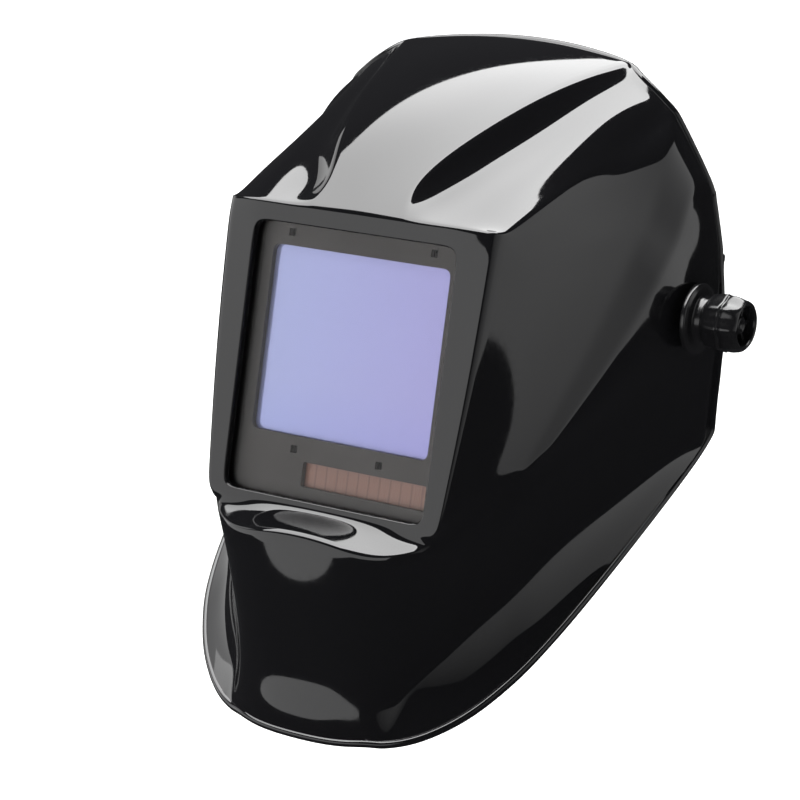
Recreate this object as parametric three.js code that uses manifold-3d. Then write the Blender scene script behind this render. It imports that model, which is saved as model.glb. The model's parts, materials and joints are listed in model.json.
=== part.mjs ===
// Auto-darkening welding helmet: a glossy moulded shell that pivots on a ratchet headgear, with a large
// filter cartridge behind a recessed window. Millimetres, +Z up, the window faces -Y, and the origin is
// the midpoint of the flip-up axis, which runs along X through the two tension knobs.
import * as THREE from 'three';
import { mergeVertices } from 'three/addons/utils/BufferGeometryUtils.js';
import Module from 'manifold-3d';

const wasm = await Module();
wasm.setup();

// ---- driving dimensions ----
const GAP = 0.3;
const SHELL_WALL = 2.5;
const FACE_TILT = THREE.MathUtils.degToRad(13.34);
const WINDOW_CENTRE = [0, -110, -7];
const FACE_HEIGHT = 11;
const OPENING = { halfWidth: 54, top: 52.6, bottom: -69.8, returnDepth: 3.8, returnWall: 2 };
const CARTRIDGE = { width: 114, height: 133, centre: -8.6, front: 3, split: 5, back: 13 };
const VIEW = { width: 95, height: 85 };
const SOLAR = { x: 16, v: -59.1, width: 66, height: 11.2 };
const SENSORS = [[-38, 48.5], [38, 48.5], [-23, -48.6], [23, -48.6]];
const CONTROL = { v: -61, width: 108, height: 27, back: 19 };
const BATTERY = { x: 38.5, radius: 10, start: 11, end: 14.2, capRadius: 12.4 };
const HEAD = { y: 37.5, halfWidth: 77.5, halfLength: 97.5 };
const BAND = { thick: 2.2, low: -12, high: 16 };
const PIVOT = { boss: 114.6, bossRadius: 17.5, inner: 108.5, innerRadius: 15, bore: 6.4 };
const KNOB = { start: 122.5, end: 141, radius: 13.8, flutes: 8 };

// ---- materials ----
const finish = (color, roughness, metalness = 0, opacity = 1) =>
  new THREE.MeshStandardMaterial({ color, roughness, metalness, opacity, transparent: opacity < 1 });
const looks = {
  shell: [0x0b0b0c, 0.08],
  satin: [0x1c1c1d, 0.45],
  housing: [0x2a2a2c, 0.55],
  clear: [0xdfe8ea, 0.03, 0, 0.3],
  filter: [0xa9aadf, 0.06, 0.2],
  solar: [0x6f524a, 0.3],
  sensor: [0x22242a, 0.15],
  board: [0x1e4a2c, 0.5],
  steel: [0xb5b5b2, 0.3, 1],
  band: [0x222326, 0.6],
  foam: [0x2d2d30, 0.95],
};

// ---- solid helpers ----
function solidOf(geometry) {
  const bare = geometry.clone();
  bare.deleteAttribute('normal');
  bare.deleteAttribute('uv');
  const merged = mergeVertices(bare, 1e-4);
  return new wasm.Manifold(new wasm.Mesh({
    numProp: 3,
    vertProperties: new Float32Array(merged.attributes.position.array),
    triVerts: new Uint32Array(merged.index.array),
  }));
}

function geometryOf(solid) {
  const mesh = solid.getMesh();
  const geometry = new THREE.BufferGeometry();
  geometry.setAttribute('position', new THREE.BufferAttribute(mesh.vertProperties, 3));
  geometry.setIndex(new THREE.BufferAttribute(mesh.triVerts, 1));
  geometry.computeVertexNormals();
  return geometry;
}

function join(first, ...others) {
  return geometryOf(others.reduce((sum, piece) => sum.add(solidOf(piece)), solidOf(first)));
}

function cut(base, ...tools) {
  return geometryOf(tools.reduce((rest, tool) => rest.subtract(solidOf(tool)), solidOf(base)));
}

function mirrored(geometry) {
  const copy = geometry.clone();
  copy.scale(-1, 1, 1);
  const order = Array.from(copy.index.array);
  for (let k = 0; k < order.length; k += 3) {
    [order[k], order[k + 1]] = [order[k + 1], order[k]];
  }
  copy.setIndex(order);
  return copy;
}

// A rod along X or Y, from a to b, centred on the two other coordinates.
function rod(axis, radius, a, b, centre = [0, 0], segments = 24, endRadius = radius) {
  const geometry = new THREE.CylinderGeometry(endRadius, radius, b - a, segments);
  geometry.translate(0, (a + b) / 2, 0);
  if (axis === 'x') {
    geometry.rotateZ(-Math.PI / 2);
    geometry.translate(0, centre[0], centre[1]);
  } else {
    geometry.translate(centre[0], 0, centre[1]);
  }
  return geometry;
}

function roundedRectangle(width, height, radius, x = 0, y = 0) {
  const w = width / 2;
  const h = height / 2;
  const shape = new THREE.Shape();
  shape.absarc(x + w - radius, y + h - radius, radius, 0, Math.PI / 2);
  shape.absarc(x - w + radius, y + h - radius, radius, Math.PI / 2, Math.PI);
  shape.absarc(x - w + radius, y - h + radius, radius, Math.PI, 1.5 * Math.PI);
  shape.absarc(x + w - radius, y - h + radius, radius, 1.5 * Math.PI, 2 * Math.PI);
  shape.closePath();
  return shape;
}

// A plate parallel to the window, in the cartridge's own frame: x across, v up the face, and front
// and back as distances behind the glass.
function plate(x, v, width, height, front, back, radius = 2) {
  const shape = roundedRectangle(width, height, radius, x, v);
  const options = { depth: back - front, bevelEnabled: false, curveSegments: 3 };
  const geometry = new THREE.ExtrudeGeometry(shape, options);
  geometry.rotateX(Math.PI / 2);
  geometry.translate(0, back, 0);
  return geometry;
}

// A flat strip swept along a route: each stop gives the middle, the direction across and the width.
function ribbon(stops, thickness) {
  const positions = [];
  const faces = [];
  stops.forEach(({ at, across, width }, k) => {
    const before = stops[Math.max(k - 1, 0)].at;
    const after = stops[Math.min(k + 1, stops.length - 1)].at;
    const along = after.clone().sub(before).normalize();
    const side = across.clone().addScaledVector(along, -across.dot(along)).normalize();
    const out = new THREE.Vector3().crossVectors(along, side);
    for (const [s, o] of [[-1, -1], [1, -1], [1, 1], [-1, 1]]) {
      const point = at.clone().addScaledVector(side, s * width / 2).addScaledVector(out, o * thickness / 2);
      positions.push(...point.toArray());
    }
  });
  for (let k = 0; k + 1 < stops.length; k += 1) {
    for (let c = 0; c < 4; c += 1) {
      const a = 4 * k + c;
      const b = 4 * k + (c + 1) % 4;
      faces.push(a, a + 4, b, b, a + 4, b + 4);
    }
  }
  const last = 4 * (stops.length - 1);
  faces.push(0, 1, 2, 0, 2, 3, last, last + 2, last + 1, last, last + 3, last + 2);
  const geometry = new THREE.BufferGeometry();
  geometry.setAttribute('position', new THREE.Float32BufferAttribute(positions, 3));
  geometry.setIndex(faces);
  return solidOf(geometry).volume() > 0 ? geometry : flipped(geometry);
}

function flipped(geometry) {
  const order = Array.from(geometry.index.array);
  for (let k = 0; k < order.length; k += 3) {
    [order[k], order[k + 1]] = [order[k + 1], order[k]];
  }
  geometry.setIndex(order);
  return geometry;
}

// ---- shell: a hand-made control cage, left half from the centre line to the rear edge ----
// A point of the slanted face: across, up the face from the glass centre, and out in front of the glass.
function facePoint(x, v, h) {
  const y = v * Math.sin(FACE_TILT) - h * Math.cos(FACE_TILT);
  const z = v * Math.cos(FACE_TILT) + h * Math.sin(FACE_TILT);
  return [x, WINDOW_CENTRE[1] + y, WINDOW_CENTRE[2] + z];
}

function faceRow(v, across, edge, edgeHeight, side) {
  const flat = across.map((x) => facePoint(x, v, FACE_HEIGHT));
  return [...flat, facePoint(edge, v, edgeHeight), ...side];
}

const ACROSS = [0, 13, 25, 33, 43, OPENING.halfWidth];

// Rows run from the centre line outwards: centre, hood (2), hood wall foot, valley, window edge,
// face edge, side (2), band valley, band ridge, rear, rear edge.
const CAGE = {
  rim: [
    [0, -159.8, -176], [11, -159.3, -176], [20, -157.8, -176], [28, -155.8, -175.5], [34, -153.3, -175],
    [39, -151.3, -175], [43.5, -149.5, -174.5], [56, -143, -172], [73, -129, -162], [84, -114, -149.5],
    [92, -100, -138.5], [104, -60, -111], [112.5, 27, -65.5],
  ],
  flare: [
    [0, -159.5, -164], [11, -159, -164], [20, -157.5, -164], [28, -155, -164], [34.5, -152, -163.5],
    [40, -147.5, -163], [45, -141, -162.5], [55, -134, -158], [69, -120, -149], [79, -104, -137],
    [87, -90, -126.5], [99, -50, -99], [112.5, 27, -59],
  ],
  chinLow: [
    [0, -156.5, -149], [11, -156, -149], [21, -155, -149], [30, -152, -149], [37, -148, -149],
    [43, -141.5, -149], [47, -135.5, -148.5], [56, -127, -144], [68, -112, -134], [77, -96, -122],
    [85, -82, -112], [97, -44, -87], [113, 27, -52],
  ],
  chinMid: [
    [0, -157, -127], [12, -156.5, -127], [22, -155, -127], [31, -152, -127], [38, -148, -126.5],
    [44, -142.5, -126], [48.5, -136, -125.5], [58, -124, -121], [68, -109, -113], [76, -96, -104],
    [83, -82, -95], [97, -42, -73], [113.5, 27, -44],
  ],
  chinTop: [
    [0, -157, -105], [13, -156.5, -105], [24, -155, -105], [34, -151.5, -104.5], [42, -147.5, -104],
    [48, -142.5, -103.5], [53, -136, -102.5], [62, -124, -96], [69, -111, -91], [75, -100, -86],
    [81, -88, -79], [97, -40, -57], [114.5, 27, -35],
  ],
  lip: [
    [0, -154.5, -83.2], [13, -154.5, -83.8], [23, -154, -85], [32, -152.5, -86], [41, -149.5, -86],
    [50.5, -144.5, -84], [58, -137, -82.5], [64, -129.5, -82], [70.5, -115, -78.5], [76.5, -102, -73.5],
    [81, -93, -68], [98, -40, -43], [115, 27, -26],
  ],
  shelf: [
    [0, -146, -78.9], [13, -145.5, -79.5], [25, -144, -80.8], [34, -142, -81.6], [43, -139.5, -81.4],
    [51.5, -138, -81.4], [58.5, -136.5, -80.3], [65, -126.5, -77.5], [71.5, -112.5, -73.5], [77, -100.5, -68.5],
    [81.5, -92, -63], [98.5, -40, -38], [115.5, 27, -22.5],
  ],
  faceLow: faceRow(-74.5, [0, 13, 25, 34, 43, 51.5], 59.8, 10.4,
    [[66, -124, -71.5], [72, -110, -68], [77.5, -99, -63],
      [82, -91, -58], [99, -40, -33], [115.5, 27, -19]]),
  windowLow: faceRow(OPENING.bottom, ACROSS, 62.5, 10.8,
    [[67.5, -122, -64], [74, -108.5, -60], [80, -96, -54.5],
      [85, -88, -50], [101, -40, -25], [116, 27, -12]]),
  windowLowIn: faceRow(-60, ACROSS, 63.6, 10.7,
    [[69, -118.5, -55.5], [76, -103, -50.5], [83, -88.5, -44.5],
      [88, -80.5, -42.5], [102.5, -37.5, -21.5], [116, 27, -10]]),
  windowMid: faceRow(-8, ACROSS, 68.2, 10,
    [[75, -101, -12], [85, -76, -6], [93.5, -54, 0], [100, -47, -7], [109.5, -22, -3], [115.5, 27, 3]]),
  windowHighIn: faceRow(43, ACROSS, 70.4, 9,
    [[78, -86.5, 28.5], [88.5, -53.5, 29.5], [97, -29.5, 30.5],
      [106.5, -25, 19], [113, -4, 12.5], [114.5, 27, 17]]),
  windowTop: faceRow(OPENING.top, ACROSS, 70.6, 8.8,
    [[78.5, -84, 36], [88.5, -50, 35], [97, -26, 35], [107, -22, 23], [113, 0, 15], [114, 27, 20]]),
  faceTop: faceRow(61.5, ACROSS, 70.6, 7.8,
    [[79.5, -76, 42], [89.5, -42, 40], [97.5, -20, 41], [107.5, -15, 30], [113, 6, 22], [114, 27, 24]]),
  hoodLow: [
    [0, -94, 68.5], [13, -93.5, 68], [20, -92.5, 66.5], [30, -96, 62], [41, -97, 59.5],
    [56, -98.5, 59], [72, -97, 53.5], [82, -65, 49], [91, -32, 45], [97.5, -12, 47],
    [107.5, -6, 37], [113, 12, 27], [113.5, 27, 29],
  ],
  hoodMid: [
    [0, -70, 91], [17, -70, 90], [33, -74, 82.5], [41, -72, 73], [51, -74, 70],
    [63, -75, 68.5], [75, -74, 60.5], [82.5, -44, 59], [91, -17, 60], [97, -2, 62.5],
    [107, 3, 50.5], [112, 16, 38], [112, 27, 37.5],
  ],
  hoodHigh: [
    [0, -34, 105], [22, -34.5, 103.5], [43.5, -36, 97], [51.5, -36, 86], [60, -38, 81.5],
    [69, -39, 79], [78, -36, 71], [84, -16, 71.5], [90, -2, 73.5], [95, 7, 74.5],
    [106, 11.5, 58], [110.5, 19, 47], [110.5, 27, 45.5],
  ],
  panelFront: [
    [0, -2, 112.5], [26, -2.5, 111], [52, -1, 105], [58.5, -3, 96.5], [66, -5, 93],
    [73, -5, 89.5], [81, -4, 79.5], [85, 7, 81], [88.5, 12, 82.5], [92, 16, 83],
    [105, 19, 61.5], [109.5, 23, 53], [109.5, 27, 50],
  ],
  crest: [
    [0, 29, 115], [31, 28.5, 113.5], [61, 28.5, 109], [66, 22, 103], [72, 20, 98.5],
    [79, 20, 94.5], [84, 21, 90.5], [86, 21.5, 89.5], [87.5, 22, 88.5], [89, 22.5, 87],
    [104, 23, 63], [109, 25, 55.5], [109, 27, 52.5],
  ],
  rearRim: [
    [0, 42, 113.5], [31, 40, 112], [62, 32.5, 108], [67, 28.5, 105.5], [73, 27, 101.5],
    [79.5, 26.5, 97], [84, 26.5, 93], [86, 26.5, 91.5], [88, 26.5, 89.5], [90, 27, 87],
    [104, 27, 64], [107, 27, 57.5], [108.5, 27, 53],
  ],
};
const ROWS = Object.keys(CAGE);
const SIDE_COLUMNS = CAGE.rim.length - 1;

// Creases: a column or a row of the cage between two others, from 0 (smooth) to 1 (sharp).
const CREASES = [
  { column: 2, from: 'hoodLow', to: 'rearRim', sharp: 0.6 },
  { column: 3, from: 'hoodMid', to: 'rearRim', sharp: 0.5 },
  { column: 6, from: 'shelf', to: 'rearRim', sharp: 0.7 },
  { column: 6, from: 'rim', to: 'chinLow', sharp: 0.5 },
  { column: 9, from: 'windowLow', to: 'rearRim', sharp: 0.5 },
  { column: 10, from: 'windowLow', to: 'rearRim', sharp: 0.7 },
  { row: 'lip', from: 0, to: 6, sharp: 0.8 },
  { row: 'faceTop', from: 0, to: 6, sharp: 0.7 },
  { row: 'windowTop', from: 0, to: 5, sharp: 1 },
  { row: 'windowLow', from: 0, to: 5, sharp: 1 },
  { row: 'crest', from: 0, to: 12, sharp: 0.7 },
];

function columnSharpness(column, row) {
  const found = CREASES.filter((crease) => crease.column === column
    && row >= ROWS.indexOf(crease.from) && row <= ROWS.indexOf(crease.to));
  return Math.max(0, ...found.map((crease) => crease.sharp));
}

function rowSharpness(row, column) {
  const found = CREASES.filter((crease) => crease.row === ROWS[row]
    && column >= crease.from && column <= crease.to);
  return Math.max(0, ...found.map((crease) => crease.sharp));
}

function cagePoint(i, j) {
  const [x, y, z] = CAGE[ROWS[i]][Math.abs(j)];
  return new THREE.Vector3(j < 0 ? -x : x, y, z);
}

// The cage's points moved onto the smooth surface it controls, by the cubic B-spline mask (1 4 1) / 6.
function smoothPoint(i, j) {
  const insideOpening = i >= OPEN_ROWS[0] && i <= OPEN_ROWS[1] && Math.abs(j) === OPEN_COLUMN;
  const alongRow = (row) => {
    const here = cagePoint(row, j);
    if (Math.abs(j) === SIDE_COLUMNS || insideOpening) {
      return here;
    }
    const mean = cagePoint(row, j - 1).add(cagePoint(row, j + 1)).addScaledVector(here, 4).divideScalar(6);
    return mean.lerp(here, columnSharpness(Math.abs(j), i));
  };
  const here = alongRow(i);
  if (i === 0 || i === ROWS.length - 1) {
    return here;
  }
  const mean = alongRow(i - 1).add(alongRow(i + 1)).addScaledVector(here, 4).divideScalar(6);
  return mean.lerp(here, rowSharpness(i, Math.abs(j)));
}

const OPEN_ROWS = [ROWS.indexOf('windowLow'), ROWS.indexOf('windowTop')];
const OPEN_COLUMN = ACROSS.length - 1;

// The cage places round a rectangle of rows and columns, in order, as a closed loop.
function loopOf(low, high, columns) {
  const walk = (from, to, place) => {
    const step = Math.sign(to - from);
    return Array.from({ length: Math.abs(to - from) }, (unused, k) => place(from + k * step));
  };
  return [
    ...walk(-columns, columns, (j) => [low, j]),
    ...walk(low, high, (i) => [i, columns]),
    ...walk(columns, -columns, (j) => [high, j]),
    ...walk(high, low, (i) => [i, -columns]),
  ];
}

function shellSkin() {
  const points = [];
  const outer = {};
  const inner = {};
  const faces = [];
  const key = (i, j) => `${i},${j}`;
  const add = (point) => points.push(point) - 1;
  const quad = (a, b, c, d) => faces.push([a, b, c], [a, c, d]);
  const cells = [];
  for (let i = 0; i < ROWS.length; i += 1) {
    for (let j = -SIDE_COLUMNS; j <= SIDE_COLUMNS; j += 1) {
      outer[key(i, j)] = add(smoothPoint(i, j));
      const inRows = i >= OPEN_ROWS[0] && i < OPEN_ROWS[1];
      const hole = inRows && j >= -OPEN_COLUMN && j < OPEN_COLUMN;
      if (i + 1 < ROWS.length && j < SIDE_COLUMNS && !hole) {
        cells.push([i, j]);
      }
    }
  }
  const normals = points.map(() => new THREE.Vector3());
  for (const [i, j] of cells) {
    const corners = [[i, j], [i, j + 1], [i + 1, j + 1], [i + 1, j]].map(([a, b]) => outer[key(a, b)]);
    const across = points[corners[2]].clone().sub(points[corners[0]]);
    const rise = points[corners[3]].clone().sub(points[corners[1]]);
    const normal = across.cross(rise).normalize();
    corners.forEach((corner) => normals[corner].add(normal));
    quad(...corners);
  }
  const loop = loopOf(...OPEN_ROWS, OPEN_COLUMN);
  const onLoop = new Set(loop.map(([i, j]) => key(i, j)));
  const back = new THREE.Vector3(0, Math.cos(FACE_TILT), -Math.sin(FACE_TILT));
  const up = new THREE.Vector3(0, Math.sin(FACE_TILT), Math.cos(FACE_TILT));
  const outward = ([i, j]) => {
    const across = Math.abs(j) === OPEN_COLUMN ? Math.sign(j) : 0;
    const rise = Number(i === OPEN_ROWS[1]) - Number(i === OPEN_ROWS[0]);
    return up.clone().multiplyScalar(rise).setX(across).multiplyScalar(OPENING.returnWall);
  };
  for (let i = 0; i < ROWS.length; i += 1) {
    for (let j = -SIDE_COLUMNS; j <= SIDE_COLUMNS; j += 1) {
      const inOpening = i > OPEN_ROWS[0] && i < OPEN_ROWS[1] && Math.abs(j) < OPEN_COLUMN;
      const shift = onLoop.has(key(i, j))
        ? outward([i, j]).addScaledVector(back, SHELL_WALL)
        : normals[outer[key(i, j)]].clone().normalize().multiplyScalar(-SHELL_WALL);
      if (!inOpening) {
        inner[key(i, j)] = add(points[outer[key(i, j)]].clone().add(shift));
      }
    }
  }
  for (const [i, j] of cells) {
    quad(...[[i + 1, j], [i + 1, j + 1], [i, j + 1], [i, j]].map(([a, b]) => inner[key(a, b)]));
  }
  const rim = loopOf(0, ROWS.length - 1, SIDE_COLUMNS);
  closeEdge(rim.map(([i, j]) => [outer[key(i, j)], inner[key(i, j)]]), quad);
  const rings = loop.map(([i, j]) => {
    const lip = points[outer[key(i, j)]].clone().addScaledVector(back, OPENING.returnDepth);
    const lipOutside = lip.clone().add(outward([i, j]));
    return [inner[key(i, j)], add(lipOutside), add(lip), outer[key(i, j)]];
  });
  closeEdge(rings, quad);
  const used = new THREE.BufferGeometry();
  used.setAttribute('position', new THREE.Float32BufferAttribute(points.flatMap((p) => p.toArray()), 3));
  used.setIndex(faces.flat());
  return used;
}

// Joins consecutive stations of a closed edge with a strip of quads.
function closeEdge(stations, quad) {
  stations.forEach((here, k) => {
    const next = stations[(k + 1) % stations.length];
    for (let c = 0; c + 1 < here.length; c += 1) {
      quad(here[c], here[c + 1], next[c + 1], next[c]);
    }
  });
}

function helmetShell() {
  const pieces = [];
  const cuts = [];
  for (const side of [1, -1]) {
    const pads = [
      rod('x', PIVOT.bossRadius, PIVOT.inner + 2, PIVOT.boss),
      rod('x', PIVOT.innerRadius, PIVOT.inner, PIVOT.inner + 3),
    ];
    const tools = [
      rod('x', PIVOT.bore, PIVOT.inner - 2, PIVOT.boss + 2),
      rod('x', PIVOT.innerRadius, PIVOT.inner - 12, PIVOT.inner),
    ];
    pieces.push(...pads.map((pad) => (side > 0 ? pad : mirrored(pad))));
    cuts.push(...tools.map((tool) => (side > 0 ? tool : mirrored(tool))));
  }
  for (const [x, v] of POSTS) {
    const post = rod('y', 3, -FACE_HEIGHT + 1.5, RETAINER.front - GAP, [x, v], 16);
    post.applyMatrix4(faceFrame.matrix);
    pieces.push(post);
  }
  return cut(join(shellSkin(), ...pieces), ...cuts);
}

// ---- the window and the filter cartridge, in the frame of the slanted face ----
const RETAINER = { front: 13.3, back: 16, centre: -8.5, width: 119.5, height: 139 };
const POSTS = [[-62.3, 45], [62.3, 45], [-62.3, -40], [62.3, -40]];
const LATCH = { v: 58, travel: 4 };

const faceFrame = new THREE.Group();
faceFrame.position.set(...WINDOW_CENTRE);
faceFrame.rotation.x = -FACE_TILT;
faceFrame.updateMatrix();

function housingFront() {
  const { width, height, centre, front, split } = CARTRIDGE;
  const windowCut = plate(0, 0, VIEW.width, VIEW.height, -front - 1, 1, 3.5);
  const solarCut = plate(SOLAR.x, SOLAR.v, SOLAR.width, SOLAR.height, -front - 1, 1, 0.8);
  const pocket = plate(0, centre, width - 6, height - 6, -0.2, split + 1, 3);
  const eyes = SENSORS.map(([x, v]) => plate(x, v, 3.6, 3.6, -front - 1, 1, 0.5));
  return cut(plate(0, centre, width, height, -front, split, 4), windowCut, solarCut, pocket, ...eyes);
}

function housingRear() {
  const { width, height, centre, split, back } = CARTRIDGE;
  const lightPath = plate(0, 2, 92, 80, 0, 40, 3);
  const tray = cut(plate(0, centre, width, height, split + GAP, back, 4),
    plate(0, centre, width - 6, height - 6, split - 1, back - 2, 3), lightPath);
  const box = plate(0, CONTROL.v, CONTROL.width, CONTROL.height, back - 1, CONTROL.back, 3);
  const floor = CONTROL.back - 2;
  const boxPocket = plate(0, CONTROL.v, CONTROL.width - 4, CONTROL.height - 4, back - 3, floor, 2);
  const holes = [-BATTERY.x, BATTERY.x].map((x) => rod('y', BATTERY.radius + 0.6, 14, 22, [x, CONTROL.v]));
  DIALS.forEach(({ x, v }) => holes.push(rod('y', DIAL_SHAFT + GAP, 14, 22, [x, v], 20)));
  holes.push(rod('y', TEST_BUTTON.radius + GAP, 14, 22, [TEST_BUTTON.x, TEST_BUTTON.v], 20));
  const rails = [-1, 1].map((side) => join(
    plate(side * 50.5, 3, 2, 78, back - 0.5, back + 2.7, 0.5),
    plate(side * 49.6, 3, 3.8, 78, back + 1.6, back + 2.7, 0.5)));
  return cut(join(tray, box, ...rails), boxPocket, ...holes);
}

function circuitBoard() {
  const board = plate(0, CARTRIDGE.centre, 106, 125, 5.6, 7.2, 2);
  return cut(board, plate(0, 2, 93, 84, 4, 9, 2));
}

const DIAL_SHAFT = 1.6;
const DIALS = [
  { name: 'shade_dial', x: 0, v: CONTROL.v, radius: 9, height: 6.5, ribs: 18 },
  { name: 'sensitivity_dial', x: -17, v: CONTROL.v - 2, radius: 5.4, height: 5, ribs: 12 },
  { name: 'delay_dial', x: 17, v: CONTROL.v - 2, radius: 5.4, height: 5, ribs: 12 },
];
const TEST_BUTTON = { x: 17, v: -52.2, radius: 2.4 };

// A knob outline with shallow flutes round it.
function fluted(radius, flutes, depth, steps = 4) {
  const count = flutes * steps;
  const outline = Array.from({ length: count }, (unused, k) => {
    const angle = (2 * Math.PI * k) / count;
    const r = radius - depth * Math.abs(Math.sin((flutes * angle) / 2)) ** 1.5;
    return new THREE.Vector2(r * Math.cos(angle), r * Math.sin(angle));
  });
  return new THREE.Shape(outline);
}

function dial({ x, v, radius, height, ribs }) {
  const outline = fluted(radius, ribs, 0.5, 3);
  const cap = new THREE.ExtrudeGeometry(outline, { depth: height, bevelEnabled: false });
  cap.rotateX(-Math.PI / 2);
  cap.translate(x, CONTROL.back + GAP, v);
  const shaft = rod('y', DIAL_SHAFT, CONTROL.back - 5, CONTROL.back + 1, [x, v], 20);
  const face = CONTROL.back + height;
  const pointer = plate(x, v + radius / 2, 1.2, radius - 1, face - 0.4, face + 2, 0.3);
  return cut(join(cap, shaft), pointer);
}

function batteryCap(x) {
  const start = CONTROL.back + GAP;
  const disc = rod('y', BATTERY.capRadius, start, start + 2.4, [x, CONTROL.v], 40);
  const plug = rod('y', BATTERY.radius + 0.2, start - 2.6, start + 0.5, [x, CONTROL.v]);
  const slot = plate(x, CONTROL.v, 16, 2, start + 1.2, start + 4, 0.5);
  return cut(join(disc, plug), slot);
}

function coverLens() {
  return plate(0, (OPENING.top + OPENING.bottom) / 2, 115, 129, -6.7, -5.5, 4);
}

function retainer() {
  const { front, back, centre, width, height } = RETAINER;
  const ears = POSTS.map(([x, v]) => plate(x * 0.985, v, 10, 10, front, back, 3));
  const opening = plate(0, -12, 109.2, 129, front - 1, back + 1, 3);
  const channel = plate(0, LATCH.v, 17, 30, back - 1.2, back + 1, 0.5);
  const ring = join(plate(0, centre, width, height, front, back, 5), ...ears);
  const holes = POSTS.map(([x, v]) => rod('y', 1.6, front - 1, back + 1, [x, v], 16));
  return cut(ring, opening, channel, ...holes);
}

function retainerLatch() {
  const { back } = RETAINER;
  const slide = plate(0, LATCH.v - 1, 16, 9, back - 1.2 + GAP, back + 1.2, 1);
  const grip = plate(0, LATCH.v + 1.5, 14, 1.6, back + 1, back + 3.6, 0.6);
  const tongue = plate(0, LATCH.v - 5.5, 12, 6, back - 1.2 + GAP, back + 1.2, 1);
  return join(slide, grip, tongue);
}

function retainerScrew([x, v]) {
  const head = rod('y', 3, RETAINER.back + GAP, RETAINER.back + 2.2, [x, v], 20);
  const shank = rod('y', 1.2, RETAINER.front + 0.3, RETAINER.back + 1, [x, v], 16);
  const slot = plate(x, v, 4, 0.9, RETAINER.back + 1.4, RETAINER.back + 4, 0.2);
  return cut(join(head, shank), slot);
}

// ---- pivots, made for the +X side ----
function tensionKnob() {
  const outline = fluted(KNOB.radius, KNOB.flutes, 1.6);
  const body = new THREE.ExtrudeGeometry(outline, {
    depth: KNOB.end - KNOB.start - 5,
    bevelThickness: 2.5,
    bevelSize: 1.6,
    bevelOffset: -1.6,
    bevelSegments: 1,
  });
  body.rotateY(Math.PI / 2);
  body.translate(KNOB.start + 2.5, 0, 0);
  const dish = rod('x', 9.2, KNOB.end - 7, KNOB.end + 2);
  const bore = rod('x', 3.3, KNOB.start - 2, KNOB.end - 7);
  const hub = rod('x', 4.2, KNOB.end - 9, KNOB.end - 2.5, [0, 0], 24);
  const spokes = [0, 1, 2].map((k) => {
    const spoke = new THREE.BoxGeometry(6.2, 19.6, 1.8);
    spoke.translate(KNOB.end - 6.1, 0, 0);
    spoke.rotateX((k * Math.PI) / 3);
    return spoke;
  });
  return cut(join(cut(body, dish), hub, ...spokes), bore);
}

function pivotCollar() {
  const start = PIVOT.boss + GAP;
  const flange = rod('x', 16.5, start, start + 3.2, [0, 0], 40, 15.6);
  const neck = rod('x', 10.5, start + 3, KNOB.start - GAP, [0, 0], 32, 9.6);
  const bush = rod('x', PIVOT.bore - GAP, PIVOT.inner - 0.4, start + 1);
  return cut(join(flange, neck, bush), rod('x', 4.2, 90, 130, [0, 0], 24));
}

const WASHER = { start: 105.6, end: 107.8, radius: 14 };
const SLIDER = { start: 88.3, end: WASHER.start - GAP, halfHeight: 9, halfLength: 12 };
const STUD = { radius: 3, headRadius: 5.5, start: 89.2, head: 92.2, end: 133.5 };
const BRACKET = { start: 84.4, floor: 88, end: 94, halfHeight: 12.5, front: -24, back: 30 };

function frictionWasher() {
  return cut(rod('x', WASHER.radius, WASHER.start, WASHER.end), rod('x', 4.2, 90, 130, [0, 0], 24));
}

function pivotStud() {
  const head = rod('x', STUD.headRadius, STUD.start, STUD.head, [0, 0], 6);
  return join(head, rod('x', STUD.radius, STUD.head - 1, STUD.end));
}

function block(x0, x1, y0, y1, z0, z1) {
  const geometry = new THREE.BoxGeometry(x1 - x0, y1 - y0, z1 - z0);
  geometry.translate((x0 + x1) / 2, (y0 + y1) / 2, (z0 + z1) / 2);
  return geometry;
}

function reachSlider() {
  const { start, halfLength, halfHeight } = SLIDER;
  const body = block(start, BRACKET.end + 1, -halfLength, halfLength, -halfHeight, halfHeight);
  const neck = rod('x', 11, BRACKET.end, SLIDER.end);
  const pocket = rod('x', STUD.headRadius + 0.5, start - 1, STUD.head + GAP);
  return cut(join(body, neck), pocket, rod('x', STUD.radius + GAP, 80, 120, [0, 0], 24));
}

function sideBracket() {
  const { start, floor, end, halfHeight, front, back } = BRACKET;
  const outer = block(start, end, front, back, -halfHeight, halfHeight);
  const clear = SLIDER.halfHeight + GAP;
  const groove = block(floor, end + 1, front - 1, back + 1, -clear, clear);
  const window = block(start - 1, floor + 1, front + 12, back - 12, -5.5, 5.5);
  return cut(outer, groove, window);
}

// ---- headgear ----
const UP = new THREE.Vector3(0, 0, 1);
const BACK = new THREE.Vector3(0, 1, 0);

// A point of the oval round the head, at an angle from +X, standing off the skin.
function oval(angle, standoff, z) {
  const x = (HEAD.halfWidth + standoff) * Math.cos(angle);
  return new THREE.Vector3(x, HEAD.y + (HEAD.halfLength + standoff) * Math.sin(angle), z);
}

function arcStops(from, to, count, standoff, shape) {
  return Array.from({ length: count + 1 }, (unused, k) => {
    const angle = from + ((to - from) * k) / count;
    const { z, width } = shape(k / count);
    return { at: oval(angle, standoff, z), across: UP, width };
  });
}

const BAND_Z = (BAND.low + BAND.high) / 2;
const BAND_HEIGHT = BAND.high - BAND.low;
const BAND_OFF = 5.2;
const TAIL = { y: 78, height: 15 };

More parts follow.
